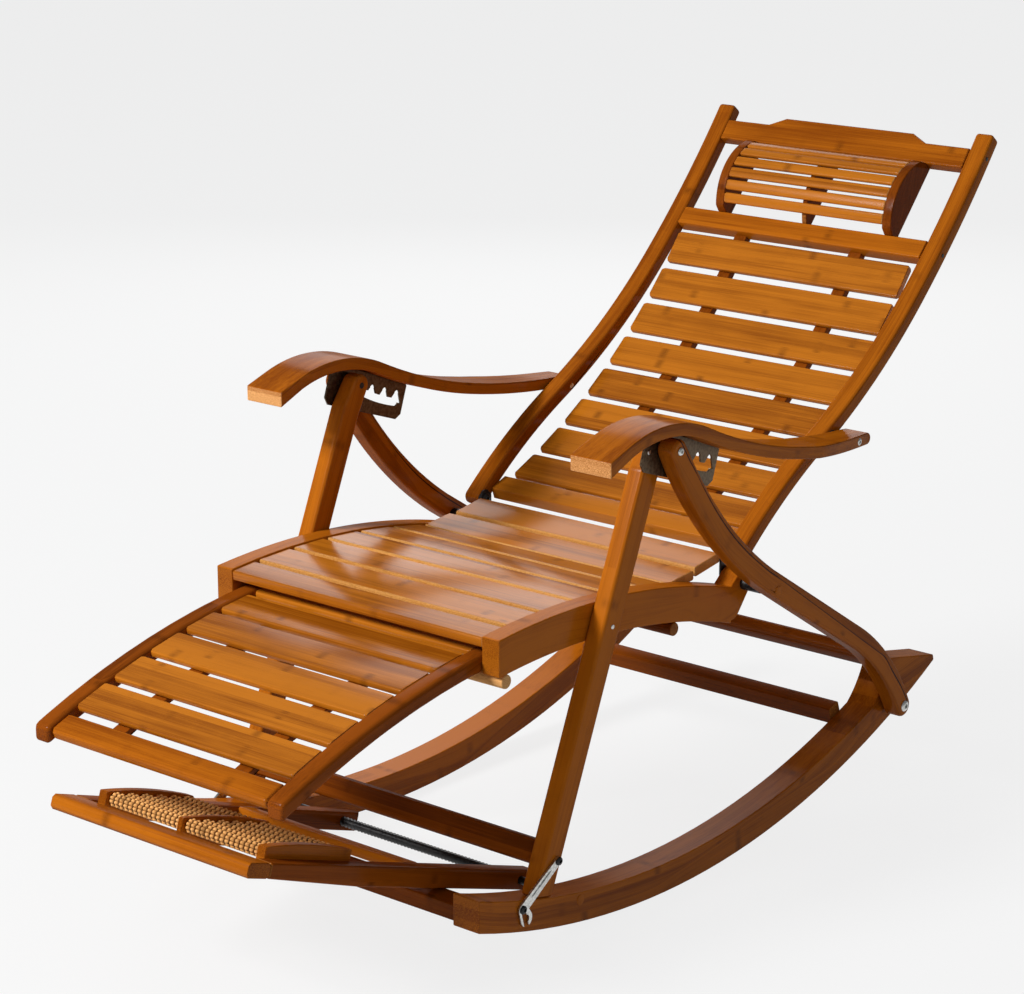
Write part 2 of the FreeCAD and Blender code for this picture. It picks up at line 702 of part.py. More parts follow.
def pillow_section():
    """Front curve and D-shaped section of the head pillow, held between head rail and crest rail."""
    laps = (PILLOW_LAP, 0.0)
    low = [rail_point(head_low, head_top, HEAD_RAIL_HEIGHT / 2.0, back_front - lap) for lap in laps]
    top = [rail_point(crest_low, crest_top, -CREST_HEIGHT / 2.0, back_front - lap) for lap in laps[::-1]]
    foot = back_path.place(head_top + PILLOW_FOOT_RISE, back_front + PILLOW_FOOT)
    bow = back_path.place((head_top + crest_low) / 2.0 - PILLOW_BOW_DROP, back_front + PILLOW_BULGE)
    brow = back_path.place(crest_low - PILLOW_BROW_DROP, back_front + PILLOW_BROW)
    front = curve_through(foot, bow, brow)
    round_back = [brow] + top + low + [foot]
    edges = [front]
    for a, b in zip(round_back, round_back[1:]):
        edges.append(Part.makeLine(side(*a), side(*b)))
    return front, face_of(edges)


def pillow_ends():
    """D-shaped boards of the pillow: one at each end and a thin rib behind its boards in the middle."""
    front, face = pillow_section()
    outer = PILLOW_LENGTH / 2.0
    end = thicken(face, outer - PILLOW_END_T, outer)
    half = PILLOW_RIB_T / 2.0
    centre = (front.Curve.Center.y, front.Curve.Center.z)
    within = rod(centre, 2.0 * (front.Curve.Radius - PILLOW_SLAT_T), -half, half)
    return Part.Compound([end, mirrored(end), thicken(face, -half, half).common(within)])


def pillow_slats():
    """Boards round the front of the pillow, let in flush between its ends."""
    arc, face = pillow_section()
    first, last = arc.FirstParameter, arc.LastParameter
    radius = arc.Curve.Radius
    gap = PILLOW_SLAT_GAP / radius
    sweep = (last - first - gap) / PILLOW_SLAT_COUNT
    inner_end = PILLOW_LENGTH / 2.0 - PILLOW_END_T
    centre = (arc.Curve.Center.y, arc.Curve.Center.z)
    half = (sweep - gap) * radius / 2.0
    slats = []
    for i in range(PILLOW_SLAT_COUNT):
        middle = arc.valueAt(first + gap + sweep * i + (sweep - gap) / 2.0)
        heading = math.degrees(math.atan2(middle.z - centre[1], middle.y - centre[0])) - 90.0
        slat = board((middle.y, middle.z), heading, -half, half, -PILLOW_SLAT_T, 0.0, -inner_end, inner_end)
        slats.append(softened(slat, EDGE))
    return Part.Compound(slats)


def notch_centre(i):
    return step(apex, NOTCH_TILT, i * NOTCH_PITCH)


def bolt_in_arm(recline):
    """Where the apex bolt lies on the armrest when the back has turned up by an angle."""
    rear = turned(arm_bolt, hinge, recline)
    swing = recline * (1.0 + ARM_FOLLOW)
    relative = (apex[0] - rear[0] + arm_bolt[0], apex[1] - rear[1] + arm_bolt[1])
    return turned(relative, arm_bolt, -swing)


def under_notches(point):
    """How far a point lies under the line through the notches."""
    a = math.radians(NOTCH_TILT)
    return (point[0] - APEX_Y) * math.sin(a) - (point[1] - APEX_Z) * math.cos(a)


def plate_face():
    """Outline of the notched plate, and of the saw cut in the armrest that holds it."""
    reach = (NOTCH_COUNT - 1) * NOTCH_PITCH + PLATE_BEHIND
    outline = ((-PLATE_AHEAD, PLATE_ABOVE), (-PLATE_AHEAD, -PLATE_BELOW),
               (reach, -PLATE_BELOW), (reach, PLATE_ABOVE))
    return cut_corners([step(apex, NOTCH_TILT, along, across) for along, across in outline], PLATE_CORNER)


def notch_plate():
    """Steel plate with a channel for the apex bolt and a row of notches above it."""
    shape = thicken(plate_face(), plate_in, plate_out)
    start, middle, end = (bolt_in_arm(RECLINE_MAX * share) for share in (0.0, 0.5, 1.0))
    cuts = channel(start, middle, end, BOLT_D / 2.0 + CHANNEL_PLAY)
    slot = BOLT_D / 2.0 + NOTCH_PLAY
    foot_half = (NOTCH_PITCH - TOOTH_TIP) / 2.0
    for i in range(1, NOTCH_COUNT):
        top = notch_centre(i)
        drop = under_notches(bolt_in_arm(RECLINE_MAX * i / (NOTCH_COUNT - 1)))
        throat = [step(top, NOTCH_TILT, along, across) for along, across in
                  ((-slot, 0.0), (-foot_half, -drop), (foot_half, -drop), (slot, 0.0))]
        cuts.append(thicken(polygon(throat), plate_in, plate_out))
        cuts.append(bore(top, 2.0 * slot, plate_in, plate_out, NOTCH_TILT))
    return shape.cut(cuts)


def channel(start, middle, end, half):
    """Solids that the bolt sweeps through the plate."""
    arc = curve_through(start, middle, end).Curve
    centre = (arc.Center.y, arc.Center.z)

    def beside(point, offset):
        heading = math.degrees(math.atan2(point[1] - centre[1], point[0] - centre[0]))
        return step(point, heading, offset)

    band = face_of([curve_through(*(beside(p, half) for p in (start, middle, end))),
                    Part.makeLine(side(*beside(end, half)), side(*beside(end, -half))),
                    curve_through(*(beside(p, -half) for p in (start, middle, end))),
                    Part.makeLine(side(*beside(start, -half)), side(*beside(start, half)))])
    ends = [bore(point, 2.0 * half, plate_in, plate_out, NOTCH_TILT) for point in (start, end)]
    return [thicken(band, plate_in, plate_out)] + ends


def armrest():
    """Bent arm board: full width over the plate, tapered on its outer side towards the back."""
    shape = thicken(arm_path.bar(ARM_T, 0.0, arm_length, round_end=True), arm_in, arm_out)
    tail_y = arm_path.at(arm_length)[0][0]
    low = arm_tip[1] - ARM_TAPER_LENGTH
    taper_y = tail_y - ARM_TAPER_LENGTH
    rear_y = tail_y + ARM_T
    end_x = arm_in + ARM_END_WIDTH
    far_x = arm_out + ARM_WIDTH
    corners = [vec(x, y, low) for x, y in
               ((arm_out, taper_y), (end_x, tail_y), (end_x, rear_y), (far_x, rear_y), (far_x, taper_y))]
    wedge = Part.Face(Part.makePolygon(corners + corners[:1]))
    wedge = wedge.extrude(vec(0.0, 0.0, 2.0 * ARM_TAPER_LENGTH))
    kerf = thicken(plate_face(), plate_in, plate_out)
    return shape.cut([wedge, kerf, bore(arm_bolt, BOLT_D + 2.0 * RUNNING_FIT, arm_in, arm_out)])


def arm_pivot_bolt():
    """Bolt through stile and armrest, with its end flush in the tapered side."""
    outer = arm_in + ARM_END_WIDTH + (ARM_WIDTH - ARM_END_WIDTH) * ARM_BOLT_BEHIND / ARM_TAPER_LENGTH
    return rod(arm_bolt, BOLT_D, stile_in, outer)


foot_out = seat_in - 2.0 * SIDE_GAP
foot_in = foot_out - FOOT_RAIL_T
foot_depth = SEAT_RAIL_DEPTH - FOOT_DROP - WORK_GAP


def foot_band(y0, drop, depth):
    """Face of a band along the path that the footrest slides on, from y0 to its tail."""
    return seat_band((y0, (y0 + foot_back) / 2.0, foot_back), drop, drop + depth)


def footrest_rail():
    return thicken(foot_band(FOOT_FRONT_Y, FOOT_DROP, foot_depth), foot_in, foot_out)


def footrest_board(y, width, thickness, edge):
    half = width / 2.0
    place = seat_point(y, FOOT_DROP + EDGE)
    return softened(board(place, seat_heading(y), -half, half, -thickness, 0.0, -foot_in, foot_in), edge)


def footrest_front_rail():
    """Front board of the footrest, with a rounded nose."""
    y = FOOT_FRONT_Y + FOOT_FRONT_RAIL / 2.0
    return footrest_board(y, FOOT_FRONT_RAIL, foot_depth - 2.0 * EDGE, SOFT_EDGE)


def footrest_slats():
    start = FOOT_FRONT_Y + FOOT_FRONT_RAIL + FOOT_SLAT_GAP
    width = FOOT_SLAT_PITCH - FOOT_SLAT_GAP
    slats = []
    for i in range(FOOT_SLAT_COUNT):
        middle = start + i * FOOT_SLAT_PITCH + width / 2.0
        slats.append(footrest_board(middle, width, FOOT_SLAT_T, EDGE))
    return Part.Compound(slats)


def footrest_battens():
    """Two battens under the boards, from the front rail to the tail."""
    face = foot_band(FOOT_FRONT_Y, FOOT_DROP + EDGE + FOOT_SLAT_T + WORK_GAP, FOOT_BATTEN_T)
    batten = thicken(face, FOOT_BATTEN_X - FOOT_BATTEN_W / 2.0, FOOT_BATTEN_X + FOOT_BATTEN_W / 2.0)
    lip = footrest_board(FOOT_FRONT_Y, FOOT_FRONT_RAIL, foot_depth, EDGE)
    return pair(batten.cut([footrest_front_rail(), lip]))


massager_out = MASSAGER_WIDTH / 2.0
massager_in = massager_out - MASSAGER_ARM_T
board_in = massager_in - END_BOARD_T
massager_end = MASSAGER_REACH - MASSAGER_FRONT_RAIL


def massager_board(along0, along1, below, above, x0, x1):
    """A board of the massager: distances along its arms from the pivot, and below and above them."""
    return board(massager_pivot, massager_heading, along0, along1, below, -above, x0, x1)


def massager_arm():
    """Arm that turns on the pivot rod, tapering underneath towards its front end."""
    half = MASSAGER_ARM_DEPTH / 2.0
    corners = [step(massager_pivot, massager_heading, along, below) for along, below in
               ((-MASSAGER_TAIL, half), (END_BOARD_START, half), (massager_end, MASSAGER_TIP_DEPTH - half),
                (massager_end, -half), (-MASSAGER_TAIL, -half))]
    shape = eased(thicken(polygon(corners), massager_in, massager_out), EDGE)
    return shape.cut(bore(massager_pivot, PIVOT_ROD_D + 2.0 * RUNNING_FIT, massager_in, massager_out))


def massager_front_rail():
    half = MASSAGER_ARM_DEPTH / 2.0
    low = MASSAGER_TIP_DEPTH - half
    rail = massager_board(massager_end, MASSAGER_REACH, low, half, -massager_out, massager_out)
    return softened(rail, SOFT_EDGE)


def massager_rear_rail():
    half = MASSAGER_ARM_DEPTH / 2.0
    rail = massager_board(MASSAGER_REAR_RAIL - END_BOARD_T, MASSAGER_REAR_RAIL + END_BOARD_T, 0.0, half,
                          -massager_in, massager_in)
    return softened(rail, EDGE)


def roller_centre(row):
    return step(massager_pivot, massager_heading, ROLLER_FIRST + row * ROLLER_PITCH, -ROLLER_LIFT)


def end_boards():
    """Boards that hold the roller rods: one beside each arm and a divider in the middle."""
    half = MASSAGER_ARM_DEPTH / 2.0
    top = half + END_BOARD_TOP
    middle_along = (END_BOARD_START + END_BOARD_FRONT) / 2.0
    crown = step(massager_pivot, massager_heading, middle_along, -top - END_BOARD_HUMP)
    outline = ((END_BOARD_FRONT, -top), (END_BOARD_FRONT, MASSAGER_TIP_DEPTH - half),
               (END_BOARD_START, MASSAGER_TIP_DEPTH - half), (END_BOARD_START, -top))
    corners = [step(massager_pivot, massager_heading, along, below) for along, below in outline]
    edges = [curve_through(corners[-1], crown, corners[0])]
    for a, b in zip(corners, corners[1:]):
        edges.append(Part.makeLine(side(*a), side(*b)))
    left = thicken(face_of(edges), board_in, massager_in)
    half_t = DIVIDER_T / 2.0
    holes = [bore(roller_centre(row), ROLLER_ROD_D, -half_t, half_t) for row in range(ROLLER_ROWS)]
    return [left, mirrored(left), thicken(face_of(edges), -half_t, half_t).cut(holes)]


def roller_rods():
    """A rod for each pair of rollers, through the divider from one end board to the other."""
    rods = [rod(roller_centre(row), ROLLER_ROD_D, -board_in, board_in) for row in range(ROLLER_ROWS)]
    return Part.Compound(rods)


def roller(row, x0, x1):
    """Grooved wooden roller on its rod: knobs round a many-sided bar, made of flat faces."""
    y, z = roller_centre(row)
    pitch = (x1 - x0) / ROLLER_KNOBS
    turn = 2.0 * math.pi / ROLLER_SIDES
    rings = []
    for i in range(2 * ROLLER_KNOBS + 1):
        radius = ROLLER_R if i % 2 else ROLLER_R - ROLLER_GROOVE
        x = x0 + i * pitch / 2.0
        rings.append([vec(x, y + radius * math.cos(k * turn), z + radius * math.sin(k * turn))
                      for k in range(ROLLER_SIDES)])
    corners = [rings[0], rings[-1]]
    for ring, following in zip(rings, rings[1:]):
        for k in range(ROLLER_SIDES):
            corners.append([ring[k - 1], ring[k], following[k], following[k - 1]])
    faces = [Part.Face(Part.makePolygon(loop + loop[:1])) for loop in corners]
    body = Part.Solid(Part.Shell(faces))
    return body.cut(bore((y, z), ROLLER_ROD_D + 2.0 * RUNNING_FIT, x0, x1))


def pivot_rod():
    """Rod between the rockers that the massager arms turn on."""
    return rod(massager_pivot, PIVOT_ROD_D, -leg_out, leg_out)


leg_foot = leg_line(LATCH_TOP_Z)
latch_top = (leg_foot[0] + LATCH_TOP_BACK, leg_foot[1])
latch_pin = under_circle(rocker_centre, ROCKER_RADIUS - ROCKER_DEPTH + LATCH_PIN_DEPTH, LATCH_PIN_Y)


def pin_in_latch(swing):
    """Where the catch pin lies on the latch when the leg frame has swung up by an angle."""
    return turned(turned(latch_pin, base_pivot, swing), latch_top, swing * LATCH_FOLLOW)


def latch():
    """Steel hook: a flat bar on the leg, with a mouth over the rocker's pin and a finger ring."""
    x0 = leg_out + SIDE_GAP
    x1 = x0 + LATCH_T
    neck = LATCH_W / 2.0 + EDGE
    bar = thicken(strap(latch_top, LATCH_W / 2.0, latch_pin, neck), x0, x1)
    ring_centre = (latch_pin[0] + LATCH_RING_BACK, latch_pin[1] - LATCH_RING_DROP)
    ring = thicken(strap(latch_pin, neck, ring_centre, LATCH_RING_R), x0, x1)
    shape = bar.fuse(ring).removeSplitter()
    slot = LATCH_PIN_D / 2.0 + WORK_GAP
    way = [pin_in_latch(LATCH_CLEAR_SWING * i / LATCH_CLEAR_STEPS) for i in range(LATCH_CLEAR_STEPS + 1)]
    cuts = [thicken(strap(a, slot, b, slot + WORK_GAP), x0, x1) for a, b in zip(way, way[1:])]
    cuts.append(bore(ring_centre, 2.0 * LATCH_RING_HOLE, x0, x1))
    cuts.append(bore(latch_top, LATCH_PIN_D + 2.0 * RUNNING_FIT, x0, x1))
    return shape.cut(cuts)


def latch_screw(point):
    """Pin from the inner side of leg or rocker out through the latch."""
    return rod(point, LATCH_PIN_D, leg_in, leg_out + SIDE_GAP + LATCH_T + WORK_GAP)


def hinge_plate():
    """Steel strap on the inner face of the seat rail that carries the back hinge bolt."""
    half = HINGE_PLATE_R
    corners = [(hinge[0] - half, hinge[1] + half), (seat_nose[0] - half, seat_nose[1] - half),
               (seat_nose[0] + half, seat_nose[1] - half), (hinge[0] + half, hinge[1] + half)]
    x0 = seat_in - HINGE_PLATE_T
    shape = thicken(cut_corners(corners, half - SOFT_EDGE), x0, seat_in)
    return shape.cut([bore(hinge, BOLT_D, x0, seat_in), bore(seat_nose, BOLT_D, x0, seat_in)])


def hinge_bolt():
    """Bolt in the hinge plate that the stile turns on."""
    return rod(hinge, BOLT_D, seat_in - HINGE_PLATE_T, stile_out)


def apex_bolt():
    """Bolt through front leg, notched plate and rear leg."""
    return rod(apex, BOLT_D, leg_in, rear_out)


def seat_rear_bolt():
    """Bolt from the hinge plate through seat rail and rear leg."""
    return rod(seat_nose, BOLT_D, seat_in - HINGE_PLATE_T, rear_out)


def base_pivot_bolt():
    """Bolt in the rocker that the rear leg turns on."""
    return rod(base_pivot, BOLT_D, rocker_in, rear_out)


def pair(*shapes):
    """The shapes on the left and their copies on the right, as one piece."""
    return Part.Compound(list(shapes) + [mirrored(shape) for shape in shapes])


def build():
    """Every piece by name, in side-view coordinates."""
    pieces = {}

    def both(name, shape):
        pieces[name + "_left"] = shape
        pieces[name + "_right"] = mirrored(shape)

    both("rocker", rocker())
    pieces["rocker_front_rail"], pieces["rocker_rear_rail"] = rocker_rails()
    both("front_leg", front_leg())
    pieces["front_leg_rail"] = front_leg_rail()
    both("rear_leg", rear_leg())
    pieces["rear_leg_rail"] = rear_leg_rail()
    both("seat_rail", seat_rail())
    pieces["seat_slats"] = seat_slats()
    pieces["seat_dowels"] = seat_dowels()
    pieces["footrest_guides"] = footrest_guides()
    pieces["leg_bolts"] = pair(apex_bolt(), seat_rear_bolt())
    pieces["base_pivot_bolts"] = pair(base_pivot_bolt())
    both("back_stile", back_stile())
    pieces["crest_rail"] = crest_rail()
    pieces["head_rail"] = head_rail()
    pieces["back_lower_rail"] = lower_rail()
    pieces["back_slats"] = back_slats()
    pieces["back_battens"] = back_battens()
    pieces["hinge_plates"] = pair(hinge_plate())
    pieces["back_hinge_bolts"] = pair(hinge_bolt())
    pieces["pillow_ends"] = pillow_ends()
    pieces["pillow_slats"] = pillow_slats()
    both("armrest", armrest())
    both("notch_plate", notch_plate())
    pieces["arm_pivot_bolts"] = pair(arm_pivot_bolt())
    both("footrest_rail", footrest_rail())
    pieces["footrest_front_rail"] = footrest_front_rail()
    pieces["footrest_slats"] = footrest_slats()
    pieces["footrest_battens"] = footrest_battens()
    both("massager_arm", massager_arm())
    pieces["massager_rails"] = Part.Compound([massager_front_rail(), massager_rear_rail()])
    pieces["roller_boards"] = Part.Compound(end_boards())
    pieces["roller_rods"] = roller_rods()
    pieces["massager_pivot_rod"] = pivot_rod()
    inner = DIVIDER_T / 2.0 + ROLLER_END_GAP
    outer = board_in - ROLLER_END_GAP
    for row in range(ROLLER_ROWS):
        both("roller_" + str(row + 1), roller(row, inner, outer))
    both("latch", latch())
    pieces["latch_pivot_screws"] = pair(latch_screw(latch_top))
    pieces["latch_catch_pins"] = pair(latch_screw(latch_pin))
    return pieces


pieces = build()
box = FreeCAD.BoundBox()
for shape in pieces.values():
    box.add(shape.BoundBox)
shift = vec(0.0, -(box.YMin + box.YMax) / 2.0, -box.ZMin)
os.makedirs("parts", exist_ok=True)
for name, shape in pieces.items():
    shape.translate(shift)
    shape.exportStep("parts/" + name + ".step")

print("size", round(box.XLength, 1), round(box.YLength, 1), round(box.ZLength, 1))
for label, point in (("hinge", hinge), ("arm bolt", arm_bolt), ("apex", apex), ("base pivot", base_pivot),
                     ("massager pivot", massager_pivot), ("seat centre", seat_centre),
                     ("latch top", latch_top), ("latch pin", latch_pin)):
    print(label, round(point[0] + shift.y, 3), round(point[1] + shift.z, 3))
for row in range(ROLLER_ROWS):
    centre = roller_centre(row)
    print("roller", row + 1, round(centre[0] + shift.y, 3), round(centre[1] + shift.z, 3))
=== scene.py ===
import json
import math

import bmesh
import bpy
import numpy as np
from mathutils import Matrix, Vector


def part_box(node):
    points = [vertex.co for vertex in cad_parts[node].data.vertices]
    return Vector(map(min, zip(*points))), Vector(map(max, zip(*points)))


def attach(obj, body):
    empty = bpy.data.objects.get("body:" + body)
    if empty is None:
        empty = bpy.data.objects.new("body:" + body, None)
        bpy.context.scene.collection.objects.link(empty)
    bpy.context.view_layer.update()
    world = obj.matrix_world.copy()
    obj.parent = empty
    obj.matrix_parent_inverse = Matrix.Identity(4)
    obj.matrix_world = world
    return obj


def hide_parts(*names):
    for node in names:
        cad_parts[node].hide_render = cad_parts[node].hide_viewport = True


# Looks of the folding bamboo rocking chair, in metres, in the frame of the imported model.
# Wooden nodes are replaced by copies with rounded edges that carry their own grain coordinates.
# Rollers, plates and the massager's rod are replaced too.
# Bolts, screws, pins and the rollers' rods keep their CAD meshes and get a steel look.

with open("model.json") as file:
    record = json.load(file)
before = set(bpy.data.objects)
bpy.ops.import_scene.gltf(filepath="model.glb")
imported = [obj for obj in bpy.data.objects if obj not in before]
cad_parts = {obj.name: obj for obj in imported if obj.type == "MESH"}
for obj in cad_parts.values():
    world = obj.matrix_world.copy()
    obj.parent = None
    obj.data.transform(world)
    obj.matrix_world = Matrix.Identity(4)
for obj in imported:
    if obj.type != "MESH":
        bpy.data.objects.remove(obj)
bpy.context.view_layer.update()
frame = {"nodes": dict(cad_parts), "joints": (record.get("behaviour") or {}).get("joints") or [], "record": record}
body_of = {node: body for body, nodes in frame["record"]["behaviour"]["bodies"].items() for node in nodes}
pivot = {joint["name"]: Vector(joint["pos_m"]) for joint in frame["joints"]}
SIDES = (("left", 1), ("right", -1))

# Camera, placed from the back's hinge line
CAMERA_FROM_HINGE = Vector((2.288, -2.905, 1.084))
CAMERA_AZIMUTH = 40.02
CAMERA_ELEVATION = 15.8
CAMERA_LENS = 104.63

# Studio: lamps as name, place, width and power in watts
FLOOR_COLOUR = (0.62, 0.62, 0.62)
FLOOR_WHITE = 0.82
FLOOR_ROUGHNESS = 0.9
FLOOR_HALF = 30.0
FLOOR_CELLS = 8
SKY_COLOUR = (0.92, 0.96, 1.0)
SKY_STRENGTH = 0.2
LAMP_AIM = (0.0, 0.0, 0.4)
LAMPS = (("key", (-1.9, -3.8, 3.3), 1.5, 270.0), ("fill", (3.4, -1.6, 2.2), 2.4, 10.0),
         ("glare", (-2.2, 2.8, 1.9), 2.2, 42.0))

# Wooden shapes
WELD = 1e-6
FLAT_ANGLE = math.radians(1.0)
ROUND_FROM = math.radians(50.0)
SHARP_FROM = math.radians(55.0)
ROUND_STEPS = 3
ROUND_PROFILE = 0.5
EDGE_ROUND = 0.0016
SOFT_ROUND = 0.0045
FOOT_ROUND = 0.006
CORNER_ROUND = 0.004
CORNER_STEPS = 5
ARM_TIP_HEIGHT = 0.0195
PIN_CLEAR = 0.0065

# Where the grain runs, which faces show end grain, and which board edges get end-grain colour as a painted
# highlight
BEND_DEGREE = 5
STRAIGHT_WITHIN = 0.045
END_GRAIN_FROM = 0.6
# Share of end-grain colour on the seat boards' long edges, a painted highlight for the light seen between the
# boards
PAINTED_EDGE_LIGHT = 0.75
GOLDEN = 0.618034
PLACE_SPREAD = 7.0

# Bamboo: noise scales along, across and through the grain
FIBRE_SCALE = (9.0, 700.0, 700.0)
STREAK_SCALE = (3.0, 90.0, 90.0)
CLOUD_SCALE = (14.0, 22.0, 22.0)
PORE_SCALE = (500.0, 900.0, 900.0)
FINE_DETAIL = 3.0
SOFT_DETAIL = 2.0

# Bamboo: how each board differs, and what adds up to its tone
STRIP_WIDTH = 0.017
STRIP_SPREAD = 37.0
BOARD_SPREAD = 9.0
STRIP_SHARE = 0.22
STREAK_SHARE = 0.5
FIBRE_SHARE = 0.35
CLOUD_SHARE = 0.14
TONE_RANGE = (0.42, 0.80)
END_STRIP_SHARE = 0.25
PORE_RANGE = (0.4, 0.8)

# Bamboo: knuckle marks, the rear legs' groove with painted shade in it, and the varnish
KNUCKLE_PITCH = 0.31
KNUCKLE_HALF = 0.010
KNUCKLE_SPREAD = 11.0
MARK_RANGE = (0.35, 0.6)
MARK_STRENGTH = 0.55
MARK_DEPTH = 0.5
GROOVE_PLACE = 0.0085
GROOVE_HALF = 0.0011
GROOVE_CORE = 0.4
GROOVE_DEPTH = 3.0
# The groove's colour is painted shade in the recess
GROOVE_SHADE_COLOUR = (0.02, 0.006, 0.002)
FIBRE_RANGE = (0.3, 0.7)
WOOD_ROUGHNESS = (0.42, 0.6)
WOOD_BUMP = 0.1
COAT_ROUGHNESS = 0.18
BUMP_DISTANCE = 0.001

# Steel
METAL_CLOUD_SCALE = (260.0, 260.0, 260.0)
METAL_CLOUD_DETAIL = 4.0
METAL_SPECK_SCALE = (1900.0, 1900.0, 1900.0)
METAL_SPECK_SHARE = 0.4
METAL_TONE_RANGE = (0.3, 0.7)
METAL_WEAR_RANGE = (0.45, 1.0)
PLATE_ROUND = 0.0004
HINGE_ROUND = 0.0005

# Rollers: knobbed shape, and painted shade that darkens the grooves between the knobs
ROLLER_BEADS = 15
ROLLER_LOBES = 9
BEAD_STEPS = 6
LOBE_STEPS = 4
BEAD_DEPTH = 0.0036
LOBE_DEPTH = 0.0028
KNOB_POWER = 0.6
ROLLER_SHADE_GONE_SHARE = 0.7

# Turned fasteners: outlines as shares of their radius and height
HEAD_SEGMENTS = 24
HEAD_SHAPE = ((1.0, 0.0), (1.0, 0.3), (0.92, 0.6), (0.72, 0.88), (0.48, 1.0), (0.42, 0.96), (0.40, 0.35))
NAIL_SHAPE = ((1.0, 0.0), (1.0, 0.5), (0.8, 1.0), (0.3, 0.6))
PLUG_SHAPE = ((1.0, 0.0), (1.0, 0.5), (0.9, 1.0), (0.4, 1.0))
TUBE_EDGE = 0.06
BOLT_R = 0.004
HEAD_R = 0.0075
HEAD_H = 0.0034
SMALL_HEAD_R = 0.0052
SMALL_HEAD_H = 0.0026
SCREW_R = 0.0028
SCREW_H = 0.0008
PLUG_R = 0.0068
PLUG_H = 0.0007
SPACER_R = 0.0085
ARM_HEAD_SUNK = 0.4
WASHER_SHARE = 0.9

# Places of fasteners
RIVET_AHEAD = 0.027
LEG_LEAN = math.radians(22.5)
LEG_AHEAD = 0.0065
SEAT_BOLT_DROP = 0.199
HINGE_PLATE_T = 0.003

# Ribs of the massager's rod, and the latches' rib as rows of place, width and height, all as shares
ROD_RIB_PITCH = 0.0055
ROD_RIB_RISE = 0.0014
ROD_RIB_CREST = 0.35
ROD_RIB_END = 0.9
RIB_WIDTH = 0.0045
RIB_RISE = 0.0012
RIB_STEPS = 6
RIB_ROWS = ((0.2, 0.3, 0.2), (0.24, 1.0, 1.0), (0.72, 1.0, 1.0), (0.76, 0.3, 0.2))


def corners_of(node):
    low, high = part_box(node)
    return Vector(low), Vector(high)


def middle(node):
    low, high = corners_of(node)
    return (low + high) / 2.0


def low_x(node):
    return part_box(node)[0][0]


def high_x(node):
    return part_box(node)[1][0]


roller_low, roller_high = corners_of("roller_1_left")
# Radii over which the rollers' painted groove shade fades out towards the knobs
ROLLER_SHADE_FULL_R = (roller_high.z - roller_low.z) / 2.0 - BEAD_DEPTH
ROLLER_SHADE_GONE_R = ROLLER_SHADE_FULL_R + ROLLER_SHADE_GONE_SHARE * BEAD_DEPTH
bolt_low, bolt_high = corners_of("leg_bolts")
apex = Vector((0.0, bolt_low.y + BOLT_R, bolt_high.z - BOLT_R))
seat_nose = Vector((0.0, bolt_high.y - BOLT_R, bolt_low.z + BOLT_R))
arm_bolt = pivot["armrest_left_turn"]
latch_bolt = pivot["latch_left_turn"]
latch_pin = middle("latch_catch_pins")
pin_axes = [apex, seat_nose, latch_pin, arm_bolt, latch_bolt]
pin_axes += [pivot[name] for name in ("recline", "base_swing", "massager_lift")]


class Shader:
    """A material's node tree, with one call to add a node and join its inputs."""

    def __init__(self, name):
        self.material = bpy.data.materials.new(name)
        self.material.use_nodes = True
        self.tree = self.material.node_tree
        self.surface = self.tree.nodes["Principled BSDF"]

    def join(self, node, inputs):
        for key, value in inputs.items():
            if isinstance(value, bpy.types.NodeSocket):
                self.tree.links.new(value, node.inputs[key])
            else:
                node.inputs[key].default_value = value

    def add(self, kind, inputs, output=0, **settings):
        node = self.tree.nodes.new("ShaderNode" + kind)
        for key, value in settings.items():
            setattr(node, key, value)
        self.join(node, inputs)
        return node.outputs[output]

    def attribute(self, name, output):
        return self.add("Attribute", {}, output, attribute_name=name)

    def math(self, operation, a, b=0.0):
        return self.add("Math", {0: a, 1: b}, operation=operation)

    def times(self, a, b):
        return self.math("MULTIPLY", a, b)

    def plus(self, a, b):
        return self.math("ADD", a, b)

    def stretched(self, vector, scale):
        return self.add("VectorMath", {0: vector, 1: scale}, operation="MULTIPLY")

    def noise(self, vector, scale, detail):
        place = self.stretched(vector, scale)
        return self.add("TexNoise", {"Vector": place, "Scale": 1.0, "Detail": detail})

    def ramp(self, value, low, high, to_low=0.0, to_high=1.0):
        inputs = {"Value": value, "From Min": low, "From Max": high, "To Min": to_low, "To Max": to_high}
        return self.add("MapRange", inputs, interpolation_type="SMOOTHSTEP")

    def mix(self, share, a, b):
        node = self.tree.nodes.new("ShaderNodeMix")
        node.data_type = "RGBA"
        self.join(node, {0: share, 6: a, 7: b})
        return node.outputs[2]

    def finish(self, colour, roughness, height, bump, **constants):
        normal = self.add("Bump", {"Strength": bump, "Distance": BUMP_DISTANCE, "Height": height})
        self.join(self.surface, {"Base Color": colour, "Roughness": roughness, "Normal": normal})
        self.join(self.surface, {key.replace("_", " "): value for key, value in constants.items()})
        return self.material


def rgba(r, g, b):
    return (r, g, b, 1.0)


